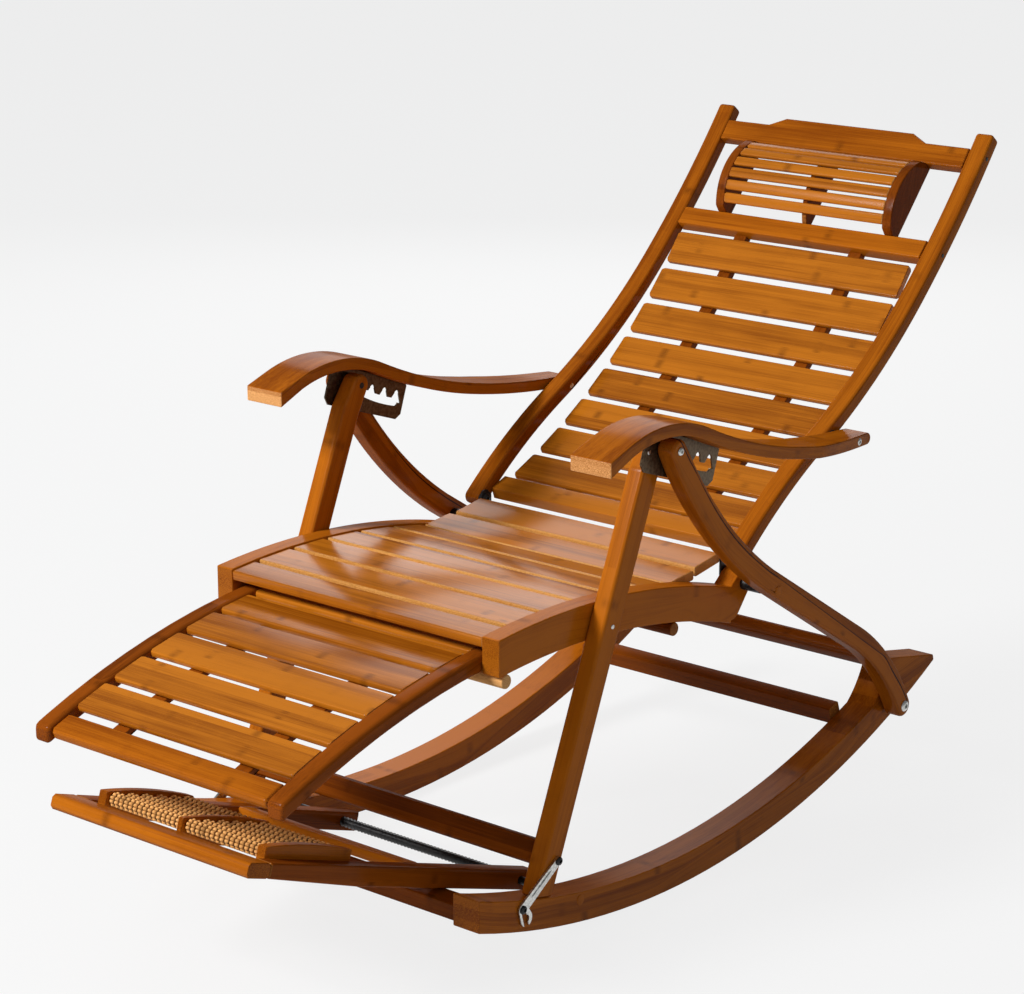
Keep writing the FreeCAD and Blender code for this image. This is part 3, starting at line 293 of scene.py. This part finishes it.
def bamboo(name, deep, pale, knuckle_and_roller_shade, end_deep, end_pale, coat, groove=False, turned=False):
    """Varnished laminated bamboo: strips of varied tone, fine fibre, marks at the nodes and end grain; painted
    shade darkens the rear legs' groove and the rollers' grooves, and board edges can take end-grain colour as a
    painted highlight.
    """
    s = Shader(name)
    grain = s.attribute("grain", "Vector")
    board = s.attribute("board", "Fac")
    parts = s.add("SeparateXYZ", {"Vector": grain}).node.outputs
    strip = s.plus(s.math("DIVIDE", parts[1], STRIP_WIDTH), s.times(board, STRIP_SPREAD))
    strip = s.math("FLOOR", strip)
    chance = s.add("TexWhiteNoise", {"Vector": s.add("CombineXYZ", {"X": strip, "Y": board})})
    shift = s.add("CombineXYZ", {"X": s.times(board, BOARD_SPREAD)})
    shifted = s.add("VectorMath", {0: grain, 1: shift})
    fibre = s.noise(shifted, FIBRE_SCALE, FINE_DETAIL)
    streak = s.noise(shifted, STREAK_SCALE, FINE_DETAIL)
    cloud = s.noise(shifted, CLOUD_SCALE, SOFT_DETAIL)
    tone = s.plus(s.times(chance, STRIP_SHARE), s.times(streak, STREAK_SHARE))
    tone = s.plus(tone, s.times(fibre, FIBRE_SHARE))
    tone = s.plus(tone, s.times(s.plus(cloud, board), CLOUD_SHARE))
    colour = s.mix(s.ramp(tone, *TONE_RANGE), deep, pale)

    phase = s.plus(s.math("DIVIDE", parts[0], KNUCKLE_PITCH), s.times(chance, KNUCKLE_SPREAD))
    phase = s.math("FRACT", phase)
    off = s.times(s.math("ABSOLUTE", s.math("SUBTRACT", phase, 0.5)), KNUCKLE_PITCH)
    mark = s.times(s.ramp(off, 0.0, KNUCKLE_HALF, 1.0, 0.0), s.ramp(streak, *MARK_RANGE))
    colour = s.mix(s.times(mark, MARK_STRENGTH), colour, knuckle_and_roller_shade)

    pores = s.noise(grain, PORE_SCALE, SOFT_DETAIL)
    end_tone = s.plus(pores, s.times(chance, END_STRIP_SHARE))
    ends = s.mix(s.ramp(end_tone, *PORE_RANGE), end_deep, end_pale)
    # End-grain colour, which the seat boards' long edges also take at part share as a painted highlight
    colour = s.mix(s.attribute("end_grain_and_painted_edge_light", "Fac"), colour, ends)

    height = s.math("SUBTRACT", fibre, s.times(mark, MARK_DEPTH))
    # Painted shade: the groove is coloured dark as well as dipped by the bump
    if groove:
        beside = s.math("ABSOLUTE", s.math("SUBTRACT", parts[1], GROOVE_PLACE))
        line = s.ramp(beside, GROOVE_HALF * GROOVE_CORE, GROOVE_HALF, 1.0, 0.0)
        colour = s.mix(line, colour, rgba(*GROOVE_SHADE_COLOUR))
        height = s.math("SUBTRACT", height, s.times(line, GROOVE_DEPTH))
    # Painted shade: a turned roller darkens towards its axis, so its grooves go dark and its knobs keep their tone
    if turned:
        from_axis = s.stretched(grain, (0.0, 1.0, 1.0))
        out = s.add("VectorMath", {0: from_axis}, "Value", operation="LENGTH")
        colour = s.mix(s.ramp(out, ROLLER_SHADE_FULL_R, ROLLER_SHADE_GONE_R), knuckle_and_roller_shade, colour)
    roughness = s.ramp(fibre, *FIBRE_RANGE, *WOOD_ROUGHNESS)
    return s.finish(colour, roughness, height, WOOD_BUMP,
                    Specular_IOR_Level=0.0, Coat_Weight=coat, Coat_Roughness=COAT_ROUGHNESS)


def metal(name, deep, pale, metallic, smooth, rough, bump):
    """Plated or painted steel with a mottled, lightly worn surface."""
    s = Shader(name)
    place = s.add("TexCoord", {}, "Object")
    cloud = s.noise(place, METAL_CLOUD_SCALE, METAL_CLOUD_DETAIL)
    speck = s.noise(place, METAL_SPECK_SCALE, SOFT_DETAIL)
    colour = s.mix(s.ramp(cloud, *METAL_TONE_RANGE), deep, pale)
    wear = s.plus(cloud, s.times(speck, METAL_SPECK_SHARE))
    roughness = s.ramp(wear, *METAL_WEAR_RANGE, smooth, rough)
    return s.finish(colour, roughness, speck, bump, Metallic=metallic)


wood = {
    "board": bamboo(
        "honey_bamboo", deep=rgba(0.25, 0.064, 0.003), pale=rgba(0.53, 0.166, 0.010),
        knuckle_and_roller_shade=rgba(0.11, 0.026, 0.002),
        end_deep=rgba(0.46, 0.19, 0.04), end_pale=rgba(0.74, 0.38, 0.11), coat=0.42),
    "frame": bamboo(
        "frame_bamboo", deep=rgba(0.23, 0.050, 0.002), pale=rgba(0.47, 0.130, 0.006),
        knuckle_and_roller_shade=rgba(0.10, 0.022, 0.002),
        end_deep=rgba(0.17, 0.036, 0.002), end_pale=rgba(0.40, 0.115, 0.007), coat=0.17),
    "arm": bamboo(
        "arm_bamboo", deep=rgba(0.23, 0.050, 0.002), pale=rgba(0.47, 0.130, 0.006),
        knuckle_and_roller_shade=rgba(0.10, 0.022, 0.002),
        end_deep=rgba(0.42, 0.15, 0.035), end_pale=rgba(0.78, 0.39, 0.14), coat=0.2),
    "leg": bamboo(
        "grooved_bamboo", deep=rgba(0.23, 0.050, 0.002), pale=rgba(0.45, 0.122, 0.006),
        knuckle_and_roller_shade=rgba(0.10, 0.022, 0.002),
        end_deep=rgba(0.17, 0.036, 0.002), end_pale=rgba(0.40, 0.115, 0.007), coat=0.17, groove=True),
    # Footrest rails: darker than the frame, partly their own tone and partly painted shade matching their shaded
    # outer sides
    "rail": bamboo(
        "rail_bamboo", deep=rgba(0.12, 0.025, 0.002), pale=rgba(0.27, 0.062, 0.004),
        knuckle_and_roller_shade=rgba(0.06, 0.013, 0.001),
        end_deep=rgba(0.12, 0.025, 0.002), end_pale=rgba(0.27, 0.062, 0.004), coat=0.12),
    "dark": bamboo(
        "dark_bamboo", deep=rgba(0.12, 0.024, 0.0015), pale=rgba(0.27, 0.062, 0.004),
        knuckle_and_roller_shade=rgba(0.06, 0.013, 0.001),
        end_deep=rgba(0.20, 0.06, 0.010), end_pale=rgba(0.40, 0.15, 0.03), coat=0.12),
    "dowel": bamboo(
        "dowel_bamboo", deep=rgba(0.52, 0.22, 0.055), pale=rgba(0.80, 0.42, 0.15),
        knuckle_and_roller_shade=rgba(0.38, 0.15, 0.04),
        end_deep=rgba(0.46, 0.20, 0.06), end_pale=rgba(0.74, 0.40, 0.15), coat=0.1),
    # For the roller, the knuckle colour also serves as the painted shade in its grooves
    "roller": bamboo(
        "roller_bamboo", deep=rgba(0.48, 0.19, 0.045), pale=rgba(0.86, 0.45, 0.15),
        knuckle_and_roller_shade=rgba(0.09, 0.032, 0.007),
        end_deep=rgba(0.30, 0.13, 0.04), end_pale=rgba(0.58, 0.30, 0.11), coat=0.12, turned=True),
}
steel = {
    "black_steel": metal(
        "black_steel", deep=rgba(0.010, 0.010, 0.011), pale=rgba(0.030, 0.029, 0.028),
        metallic=0.6, smooth=0.28, rough=0.5, bump=0.08),
    "bronze_steel": metal(
        "bronze_steel", deep=rgba(0.070, 0.045, 0.026), pale=rgba(0.150, 0.105, 0.062),
        metallic=0.9, smooth=0.3, rough=0.5, bump=0.08),
    "zinc_steel": metal(
        "zinc_steel", deep=rgba(0.42, 0.42, 0.40), pale=rgba(0.70, 0.70, 0.68),
        metallic=1.0, smooth=0.22, rough=0.42, bump=0.05),
}


def piece(name, bm, body, material, slot, *nodes):
    """A finished object from a mesh in the making, riding on a body and standing for any nodes named."""
    mesh = bpy.data.meshes.new(name)
    bmesh.ops.recalc_face_normals(bm, faces=bm.faces)
    bm.to_mesh(mesh)
    bm.free()
    mesh.polygons.foreach_set("use_smooth", [True] * len(mesh.polygons))
    mesh.set_sharp_from_angle(angle=SHARP_FROM)
    mesh.materials.append(material)
    obj = bpy.data.objects.new(name, mesh)
    bpy.context.collection.objects.link(obj)
    obj.modifiers.new("normals", "WEIGHTED_NORMAL").keep_sharp = True
    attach(obj, body)
    if nodes:
        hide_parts(*nodes)


def solids(bm):
    """The separate solids of a mesh as lists of vertices, in a fixed order."""
    left = set(bm.verts)
    groups = []
    for start in bm.verts:
        if start not in left:
            continue
        left.remove(start)
        group = [start]
        for vert in group:
            for edge in vert.link_edges:
                other = edge.other_vert(vert)
                if other in left:
                    left.remove(other)
                    group.append(other)
        groups.append(group)
    return groups


def side_view(group):
    """A solid's points, the same in side view about their middle, and their main direction there."""
    points = np.array([vert.co for vert in group])
    flat = points[:, 1:] - points[:, 1:].mean(axis=0)
    axis = np.linalg.svd(flat, full_matrices=False)[2][0]
    return points, flat, axis if axis[0] > 0.0 else -axis


def lay_grain(bm, painted_edge_light=0.0):
    """Stores each vertex's place along, across and through its bar or board, and marks end grain.

    The long edges of boards that lie across the chair get the given share of end-grain colour as a painted
    highlight, except on the foremost board.
    """
    grain = bm.verts.layers.float_vector.new("grain")
    board = bm.verts.layers.float.new("board")
    end = bm.faces.layers.float.new("end_grain_and_painted_edge_light")
    foremost = min(vert.co.y for vert in bm.verts)
    for index, group in enumerate(solids(bm)):
        points, flat, axis = side_view(group)
        along = flat @ axis
        across = flat @ np.array([-axis[1], axis[0]])
        if np.ptp(points[:, 0]) > np.ptp(along):
            places = np.stack([points[:, 0], along, across], axis=1)
            runs = [Vector((1.0, 0.0, 0.0))] * len(group)
            # Painted highlight on the long edges of every board but the foremost
            pale = painted_edge_light if points[:, 1].min() > foremost + EDGE_ROUND else 0.0
            for face in {face for vert in group for face in vert.link_faces}:
                if abs(face.normal.y * axis[0] + face.normal.z * axis[1]) > END_GRAIN_FROM:
                    face[end] = pale
        else:
            bend = np.polyfit(along, across, BEND_DEGREE if np.ptp(across) > STRAIGHT_WITHIN else 1)
            places = np.stack([along, across - np.polyval(bend, along), points[:, 0]], axis=1)
            slopes = np.polyval(np.polyder(bend), along)
            runs = [Vector((0.0, axis[0] - slope * axis[1], axis[1] + slope * axis[0])).normalized()
                    for slope in slopes]
        share = (index + 1) * GOLDEN + abs(float(points.mean())) * PLACE_SPREAD
        for vert, place, run in zip(group, places, runs):
            vert[grain] = Vector(place)
            vert[board] = share % 1.0
            for face in vert.link_faces:
                if abs(face.normal.dot(run)) > END_GRAIN_FROM:
                    face[end] = 1.0


def round_edges(bm, width):
    """Rounds the sharp edges, except those of pin holes."""
    def by_pin(vert):
        return any(math.hypot(vert.co.y - axis.y, vert.co.z - axis.z) < PIN_CLEAR for axis in pin_axes)

    edges = [edge for edge in bm.edges if len(edge.link_faces) == 2 and edge.calc_face_angle() > ROUND_FROM
             and not any(by_pin(vert) for vert in edge.verts)]
    bmesh.ops.bevel(bm, geom=edges, offset=width, segments=ROUND_STEPS, profile=ROUND_PROFILE,
                    affect="EDGES", clamp_overlap=False)


def copy_of(node):
    """The node's mesh with its flat faces joined up."""
    bm = bmesh.new()
    bm.from_mesh(frame["nodes"][node].data)
    bmesh.ops.remove_doubles(bm, verts=bm.verts, dist=WELD)
    bmesh.ops.dissolve_limit(bm, angle_limit=FLAT_ANGLE, verts=bm.verts, edges=bm.edges)
    return bm


def round_ends(bm):
    """Rounds the corners of boards that lie across the chair, seen from above."""
    reach = max(vert.co.x for vert in bm.verts)
    for k in range(1, CORNER_STEPS + 1):
        inset = CORNER_ROUND * (1.0 - math.cos(0.5 * math.pi * k / CORNER_STEPS))
        for end in (inset - reach, reach - inset):
            everything = bm.verts[:] + bm.edges[:] + bm.faces[:]
            bmesh.ops.bisect_plane(bm, geom=everything, plane_co=(end, 0.0, 0.0), plane_no=(1.0, 0.0, 0.0))
    for group in solids(bm):
        points, flat, axis = side_view(group)
        along = flat @ axis
        half = np.abs(along).max()
        for vert, place in zip(group, along):
            left = CORNER_ROUND - (reach - abs(vert.co.x))
            if left > 0.0:
                narrow = CORNER_ROUND - math.sqrt(max(CORNER_ROUND ** 2 - left ** 2, 0.0))
                vert.co.yz -= Vector(axis) * (narrow * place / half)


def upright_tip(bm):
    """Cuts the front end of an armrest upright."""
    tip = min(bm.faces, key=lambda face: face.calc_center_median().y)
    middle_z = tip.calc_center_median().z
    top = max(tip.verts, key=lambda vert: vert.co.z).co.copy()
    for vert in tip.verts:
        if vert.co.z < middle_z:
            vert.co.yz = (top.y, top.z - ARM_TIP_HEIGHT)


def keep_inside(bm, node):
    """Moves any vertex that rounding took out of the node's box back onto it."""
    low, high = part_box(node)
    for vert in bm.verts:
        vert.co = [min(max(value, least), most) for value, least, most in zip(vert.co, low, high)]


def finish_wood(name, bm, node, kind, slot, width, painted_edge_light=0.0):
    """Rounds a wooden mesh, lays its grain and puts it in the node's place."""
    round_edges(bm, width)
    keep_inside(bm, node)
    bm.normal_update()
    lay_grain(bm, painted_edge_light)
    piece(name, bm, body_of[node], wood[kind], slot, node)


def wooden(node, kind, slot, width, form=None, painted_edge_light=0.0):
    """A wooden node, changed by form where one is given."""
    bm = copy_of(node)
    if form:
        form(bm)
    finish_wood("wood_" + node, bm, node, kind, slot, width, painted_edge_light)


def dowel(name, kind, half):
    """One of the two dowels under the seat: half is 1 for the rear one and -1 for the front one."""
    bm = copy_of("seat_dowels")
    between = middle("seat_dowels").y
    other = [vert for vert in bm.verts if (vert.co.y - between) * half < 0.0]
    bmesh.ops.delete(bm, geom=other, context="VERTS")
    finish_wood(name, bm, "seat_dowels", kind, "bamboo_board", EDGE_ROUND)


def skin(bm, rings):
    """Joins closed rings of vertices one after another and closes both ends."""
    for ring, following in zip(rings, rings[1:]):
        for k in range(len(ring)):
            bm.faces.new((ring[k - 1], ring[k], following[k], following[k - 1]))
    bm.faces.new(rings[0])
    bm.faces.new(rings[-1])


def lathe(bm, centre, turn, profile):
    """A turned form about the X axis: profile of (radius, distance outwards), turn 1 or -1 for its side."""
    rings = []
    for radius, out in profile:
        ring = []
        for k in range(HEAD_SEGMENTS):
            a = 2.0 * math.pi * k / HEAD_SEGMENTS
            offset = Vector((turn * out, radius * math.cos(a), radius * math.sin(a)))
            ring.append(bm.verts.new(centre + offset))
        rings.append(ring)
    skin(bm, rings)


def turned_profile(shape, radius, height):
    """The outline of a head, nail or plug at its own size."""
    return [(across * radius, up * height) for across, up in shape]


def tube_profile(radius, length):
    """The outline of a spacer or washer with its edges just broken."""
    edge = TUBE_EDGE * radius
    return [(radius - edge, 0.0), (radius, edge), (radius, length - edge), (radius - edge, length)]


def on_both_sides(name, body, material, slot, centre, x, profile, turn=1):
    """A turned fastener or wood plug on the left and its mirror image on the right.

    SIDE in the body's name stands for left or right. The grain is there for the plugs.
    """
    for side, sign in SIDES:
        bm = bmesh.new()
        lathe(bm, Vector((sign * x, centre.y, centre.z)), sign * turn, profile)
        bm.normal_update()
        lay_grain(bm)
        ride_on = body.replace("SIDE", side)
        piece(name + "_" + side, bm, ride_on, material, slot)


def roller(node):
    """A turned roller whose beads are cut into rows of knobs."""
    low, high = corners_of(node)
    centre = (low + high) / 2.0
    radius = (high.z - low.z) / 2.0
    count = ROLLER_BEADS * BEAD_STEPS + 1
    around = ROLLER_LOBES * LOBE_STEPS
    bm = bmesh.new()
    rings = []
    for i in range(count):
        bulge = math.sin(math.pi * (i % BEAD_STEPS) / BEAD_STEPS) ** KNOB_POWER
        x = low.x + (high.x - low.x) * i / (count - 1)
        ring = []
        for k in range(around):
            lobe = math.sin(math.pi * (k % LOBE_STEPS) / LOBE_STEPS) ** KNOB_POWER
            r = radius - BEAD_DEPTH * (1.0 - bulge) - LOBE_DEPTH * (1.0 - lobe) * bulge
            a = 2.0 * math.pi * k / around
            ring.append(bm.verts.new((x, centre.y + r * math.cos(a), centre.z + r * math.sin(a))))
        rings.append(ring)
    skin(bm, rings)
    bm.normal_update()
    lay_grain(bm)
    piece("knobs_" + node, bm, body_of[node], wood["roller"], "roller_bamboo", node)


def ribbed_rod(node):
    """Black rod that the massager turns on, ribbed between the massager arms."""
    low, high = corners_of(node)
    radius = (high.z - low.z) / 2.0
    inner = low_x("massager_arm_left")
    count = int(2.0 * inner / ROD_RIB_PITCH)
    profile = [(radius, 0.0), (radius, -inner - low.x)]
    for i in range(count):
        start = -inner - low.x + 2.0 * inner * i / count
        profile.append((radius + ROD_RIB_RISE, start + ROD_RIB_CREST * ROD_RIB_PITCH))
        profile.append((radius, start + ROD_RIB_END * ROD_RIB_PITCH))
    profile.extend([(radius, inner - low.x), (radius, high.x - low.x)])
    axis = pivot["massager_lift"]
    bm = bmesh.new()
    lathe(bm, Vector((low.x, axis.y, axis.z)), 1, profile)
    piece("ribbed_rod", bm, body_of[node], steel["black_steel"], "black_steel", node)


def steel_plate(node, slot, width):
    """A plate's node with its edges slightly rounded."""
    bm = copy_of(node)
    round_edges(bm, width)
    piece("steel_" + node, bm, body_of[node], steel[slot], slot, node)


def latch_rib(side, sign):
    """Raised rib pressed along the latch bar."""
    x = high_x("latch_left")
    run = latch_pin - latch_bolt
    run.x = 0.0
    length = run.length
    run.normalize()
    across = Vector((0.0, -run.z, run.y))
    bm = bmesh.new()
    rows = []
    for share, wide, tall in RIB_ROWS:
        row = []
        for k in range(RIB_STEPS + 1):
            a = math.pi * k / RIB_STEPS
            out = RIB_RISE * math.sin(a) * tall
            place = latch_bolt + run * (share * length) + across * (math.cos(a) * RIB_WIDTH / 2.0 * wide)
            row.append(bm.verts.new((sign * (x + out), place.y, place.z)))
        rows.append(row)
    for row, following in zip(rows, rows[1:]):
        for k in range(RIB_STEPS):
            bm.faces.new((row[k], row[k + 1], following[k + 1], following[k]))
    bm.faces.new(rows[0])
    bm.faces.new(rows[-1])
    piece("latch_rib_" + side, bm, "latch_" + side, steel["zinc_steel"], "zinc_steel")


# Wood
# The seat boards' long edges get end-grain colour as a painted highlight
wooden("seat_slats", "board", "bamboo_board", EDGE_ROUND, painted_edge_light=PAINTED_EDGE_LIGHT)
for node in ("back_lower_rail", "pillow_slats"):
    wooden(node, "board", "bamboo_board", EDGE_ROUND)
for node in ("back_slats", "footrest_slats"):
    wooden(node, "board", "bamboo_board", EDGE_ROUND, round_ends)
for node in ("crest_rail", "head_rail", "massager_rails"):
    wooden(node, "frame", "bamboo_frame", EDGE_ROUND)
wooden("footrest_front_rail", "frame", "bamboo_frame", FOOT_ROUND)
for node in ("rocker_front_rail", "rocker_rear_rail", "front_leg_rail", "rear_leg_rail", "back_battens",
             "footrest_battens", "footrest_guides", "pillow_ends"):
    wooden(node, "dark", "bamboo_frame", EDGE_ROUND)
wooden("roller_boards", "frame", "bamboo_frame", EDGE_ROUND)
for side in ("_left", "_right"):
    wooden("rocker" + side, "frame", "bamboo_frame", EDGE_ROUND)
    wooden("front_leg" + side, "frame", "bamboo_frame", SOFT_ROUND)
    wooden("rear_leg" + side, "leg", "bamboo_frame", SOFT_ROUND)
    wooden("seat_rail" + side, "frame", "bamboo_frame", EDGE_ROUND)
    wooden("back_stile" + side, "frame", "bamboo_frame", SOFT_ROUND)
    wooden("armrest" + side, "arm", "bamboo_frame", EDGE_ROUND, upright_tip)
    # Footrest rails take the darker rail tone, partly painted shade
    wooden("footrest_rail" + side, "rail", "bamboo_frame", FOOT_ROUND)
    wooden("massager_arm" + side, "dark", "bamboo_frame", EDGE_ROUND)
dowel("front_dowel", "dowel", -1)
# The rear dowel, in shade under the seat, takes the dark tone as painted shade; the front dowel keeps the pale
# dowel tone
dowel("rear_dowel", "dark", 1)
for node in list(frame["nodes"]):
    if node.startswith("roller_") and node.endswith(("left", "right")):
        roller(node)

# Steel
for side, sign in SIDES:
    steel_plate("notch_plate_" + side, "bronze_steel", PLATE_ROUND)
    steel_plate("latch_" + side, "zinc_steel", PLATE_ROUND)
    latch_rib(side, sign)
steel_plate("hinge_plates", "black_steel", HINGE_ROUND)
ribbed_rod("massager_pivot_rod")
for slot, nodes in (("black_steel", ("leg_bolts", "base_pivot_bolts", "back_hinge_bolts",
                                     "latch_pivot_screws", "latch_catch_pins")),
                    ("zinc_steel", ("arm_pivot_bolts", "roller_rods"))):
    for node in nodes:
        for holder in frame["nodes"][node].material_slots:
            holder.material = steel[slot]

# Fasteners
leg_face = high_x("front_leg_left")
rear_face = high_x("rear_leg_left")
seat_face = high_x("seat_rail_left")
stile_face = high_x("back_stile_left")
rocker_face = high_x("rocker_left")
hinge_face = low_x("seat_rail_left") - HINGE_PLATE_T
nose_gap = low_x("rear_leg_left") - seat_face
arm_gap = low_x("armrest_left") - stile_face
arm_end = high_x("arm_pivot_bolts") - HEAD_H * ARM_HEAD_SUNK
seat_bolt = apex + Vector((0.0, -LEG_AHEAD - SEAT_BOLT_DROP * math.tan(LEG_LEAN), -SEAT_BOLT_DROP))
rivet = apex + Vector((0.0, -RIVET_AHEAD, 0.0))
black = (steel["black_steel"], "black_steel")
zinc = (steel["zinc_steel"], "zinc_steel")
varnished = (wood["frame"], "bamboo_frame")
head = turned_profile(HEAD_SHAPE, HEAD_R, HEAD_H)
small_head = turned_profile(HEAD_SHAPE, SMALL_HEAD_R, SMALL_HEAD_H)
nail = turned_profile(NAIL_SHAPE, SCREW_R, SCREW_H)
plug = turned_profile(PLUG_SHAPE, PLUG_R, PLUG_H)
nose_tube = tube_profile(SPACER_R, nose_gap)
arm_tube = tube_profile(SPACER_R, arm_gap * WASHER_SHARE)
on_both_sides("apex_head", "leg_frame", *zinc, apex, rear_face, small_head)
on_both_sides("nose_plug", "leg_frame", *varnished, seat_nose, rear_face, plug)
on_both_sides("rod_plug", "rocker_base", *varnished, pivot["massager_lift"], rocker_face, plug)
on_both_sides("base_head", "rocker_base", *zinc, pivot["base_swing"], rear_face, head)
on_both_sides("seat_front_head", "leg_frame", *zinc, seat_bolt, leg_face, nail)
on_both_sides("arm_head", "armrest_SIDE", *zinc, arm_bolt, arm_end, small_head)
on_both_sides("latch_head", "leg_frame", *black, latch_bolt, high_x("latch_pivot_screws"), small_head)
on_both_sides("catch_head", "rocker_base", *black, latch_pin, high_x("latch_catch_pins"), small_head)
on_both_sides("hinge_cap", "leg_frame", *black, pivot["recline"], hinge_face, head, -1)
on_both_sides("nose_cap", "leg_frame", *black, seat_nose, hinge_face, head, -1)
on_both_sides("nose_spacer", "leg_frame", *black, seat_nose, seat_face, nose_tube)
on_both_sides("arm_washer", "back", *black, arm_bolt, stile_face, arm_tube)
for node in ("crest_rail", "head_rail"):
    on_both_sides("stile_screw_" + node, "back", *black, middle(node), stile_face, nail)
on_both_sides("plate_rivet", "armrest_SIDE", *zinc, rivet, high_x("notch_plate_left"), nail)


def lay_floor():
    """Pale floor that shows nearly white to the camera and in reflections, and keeps the shadow."""
    s = Shader("pale_floor")
    path = s.add("LightPath", {}).node.outputs
    reflected = s.math("MAXIMUM", path["Is Glossy Ray"], path["Is Transmission Ray"])
    seen = s.math("MAXIMUM", path["Is Camera Ray"], reflected)
    s.join(s.surface, {"Base Color": rgba(*FLOOR_COLOUR), "Roughness": FLOOR_ROUGHNESS,
                       "Specular IOR Level": 0.0})
    glow = s.add("Emission", {"Color": rgba(1.0, 1.0, 1.0), "Strength": 1.0})
    shown = s.add("MixShader", {0: s.times(seen, FLOOR_WHITE), 1: s.surface.outputs[0], 2: glow})
    s.tree.links.new(shown, s.tree.nodes["Material Output"].inputs["Surface"])
    bm = bmesh.new()
    bmesh.ops.create_grid(bm, x_segments=FLOOR_CELLS, y_segments=FLOOR_CELLS, size=FLOOR_HALF)
    mesh = bpy.data.meshes.new("floor")
    bm.to_mesh(mesh)
    bm.free()
    mesh.materials.append(s.material)
    floor = bpy.data.objects.new("floor", mesh)
    bpy.context.collection.objects.link(floor)


def light():
    """A dim even sky and the soft lamps, which the camera doesn't see."""
    world = bpy.data.worlds.new("studio")
    world.use_nodes = True
    sky = world.node_tree.nodes["Background"].inputs
    sky["Color"].default_value = rgba(*SKY_COLOUR)
    sky["Strength"].default_value = SKY_STRENGTH
    bpy.context.scene.world = world
    for name, place, size, power in LAMPS:
        lamp = bpy.data.lights.new(name, "AREA")
        lamp.size = size
        lamp.energy = power
        obj = bpy.data.objects.new(name, lamp)
        obj.location = place
        aim = Vector(LAMP_AIM) - Vector(place)
        obj.rotation_euler = aim.to_track_quat("-Z", "Y").to_euler()
        obj.visible_camera = False
        bpy.context.collection.objects.link(obj)


def place_camera():
    lens = bpy.data.cameras.new("camera")
    lens.lens = CAMERA_LENS
    camera = bpy.data.objects.new("camera", lens)
    camera.location = pivot["recline"] + CAMERA_FROM_HINGE
    camera.rotation_euler = (math.radians(90.0 - CAMERA_ELEVATION), 0.0, math.radians(CAMERA_AZIMUTH))
    bpy.context.collection.objects.link(camera)
    bpy.context.scene.camera = camera


lay_floor()
light()
place_camera()
bpy.context.scene.view_settings.view_transform = "Standard"
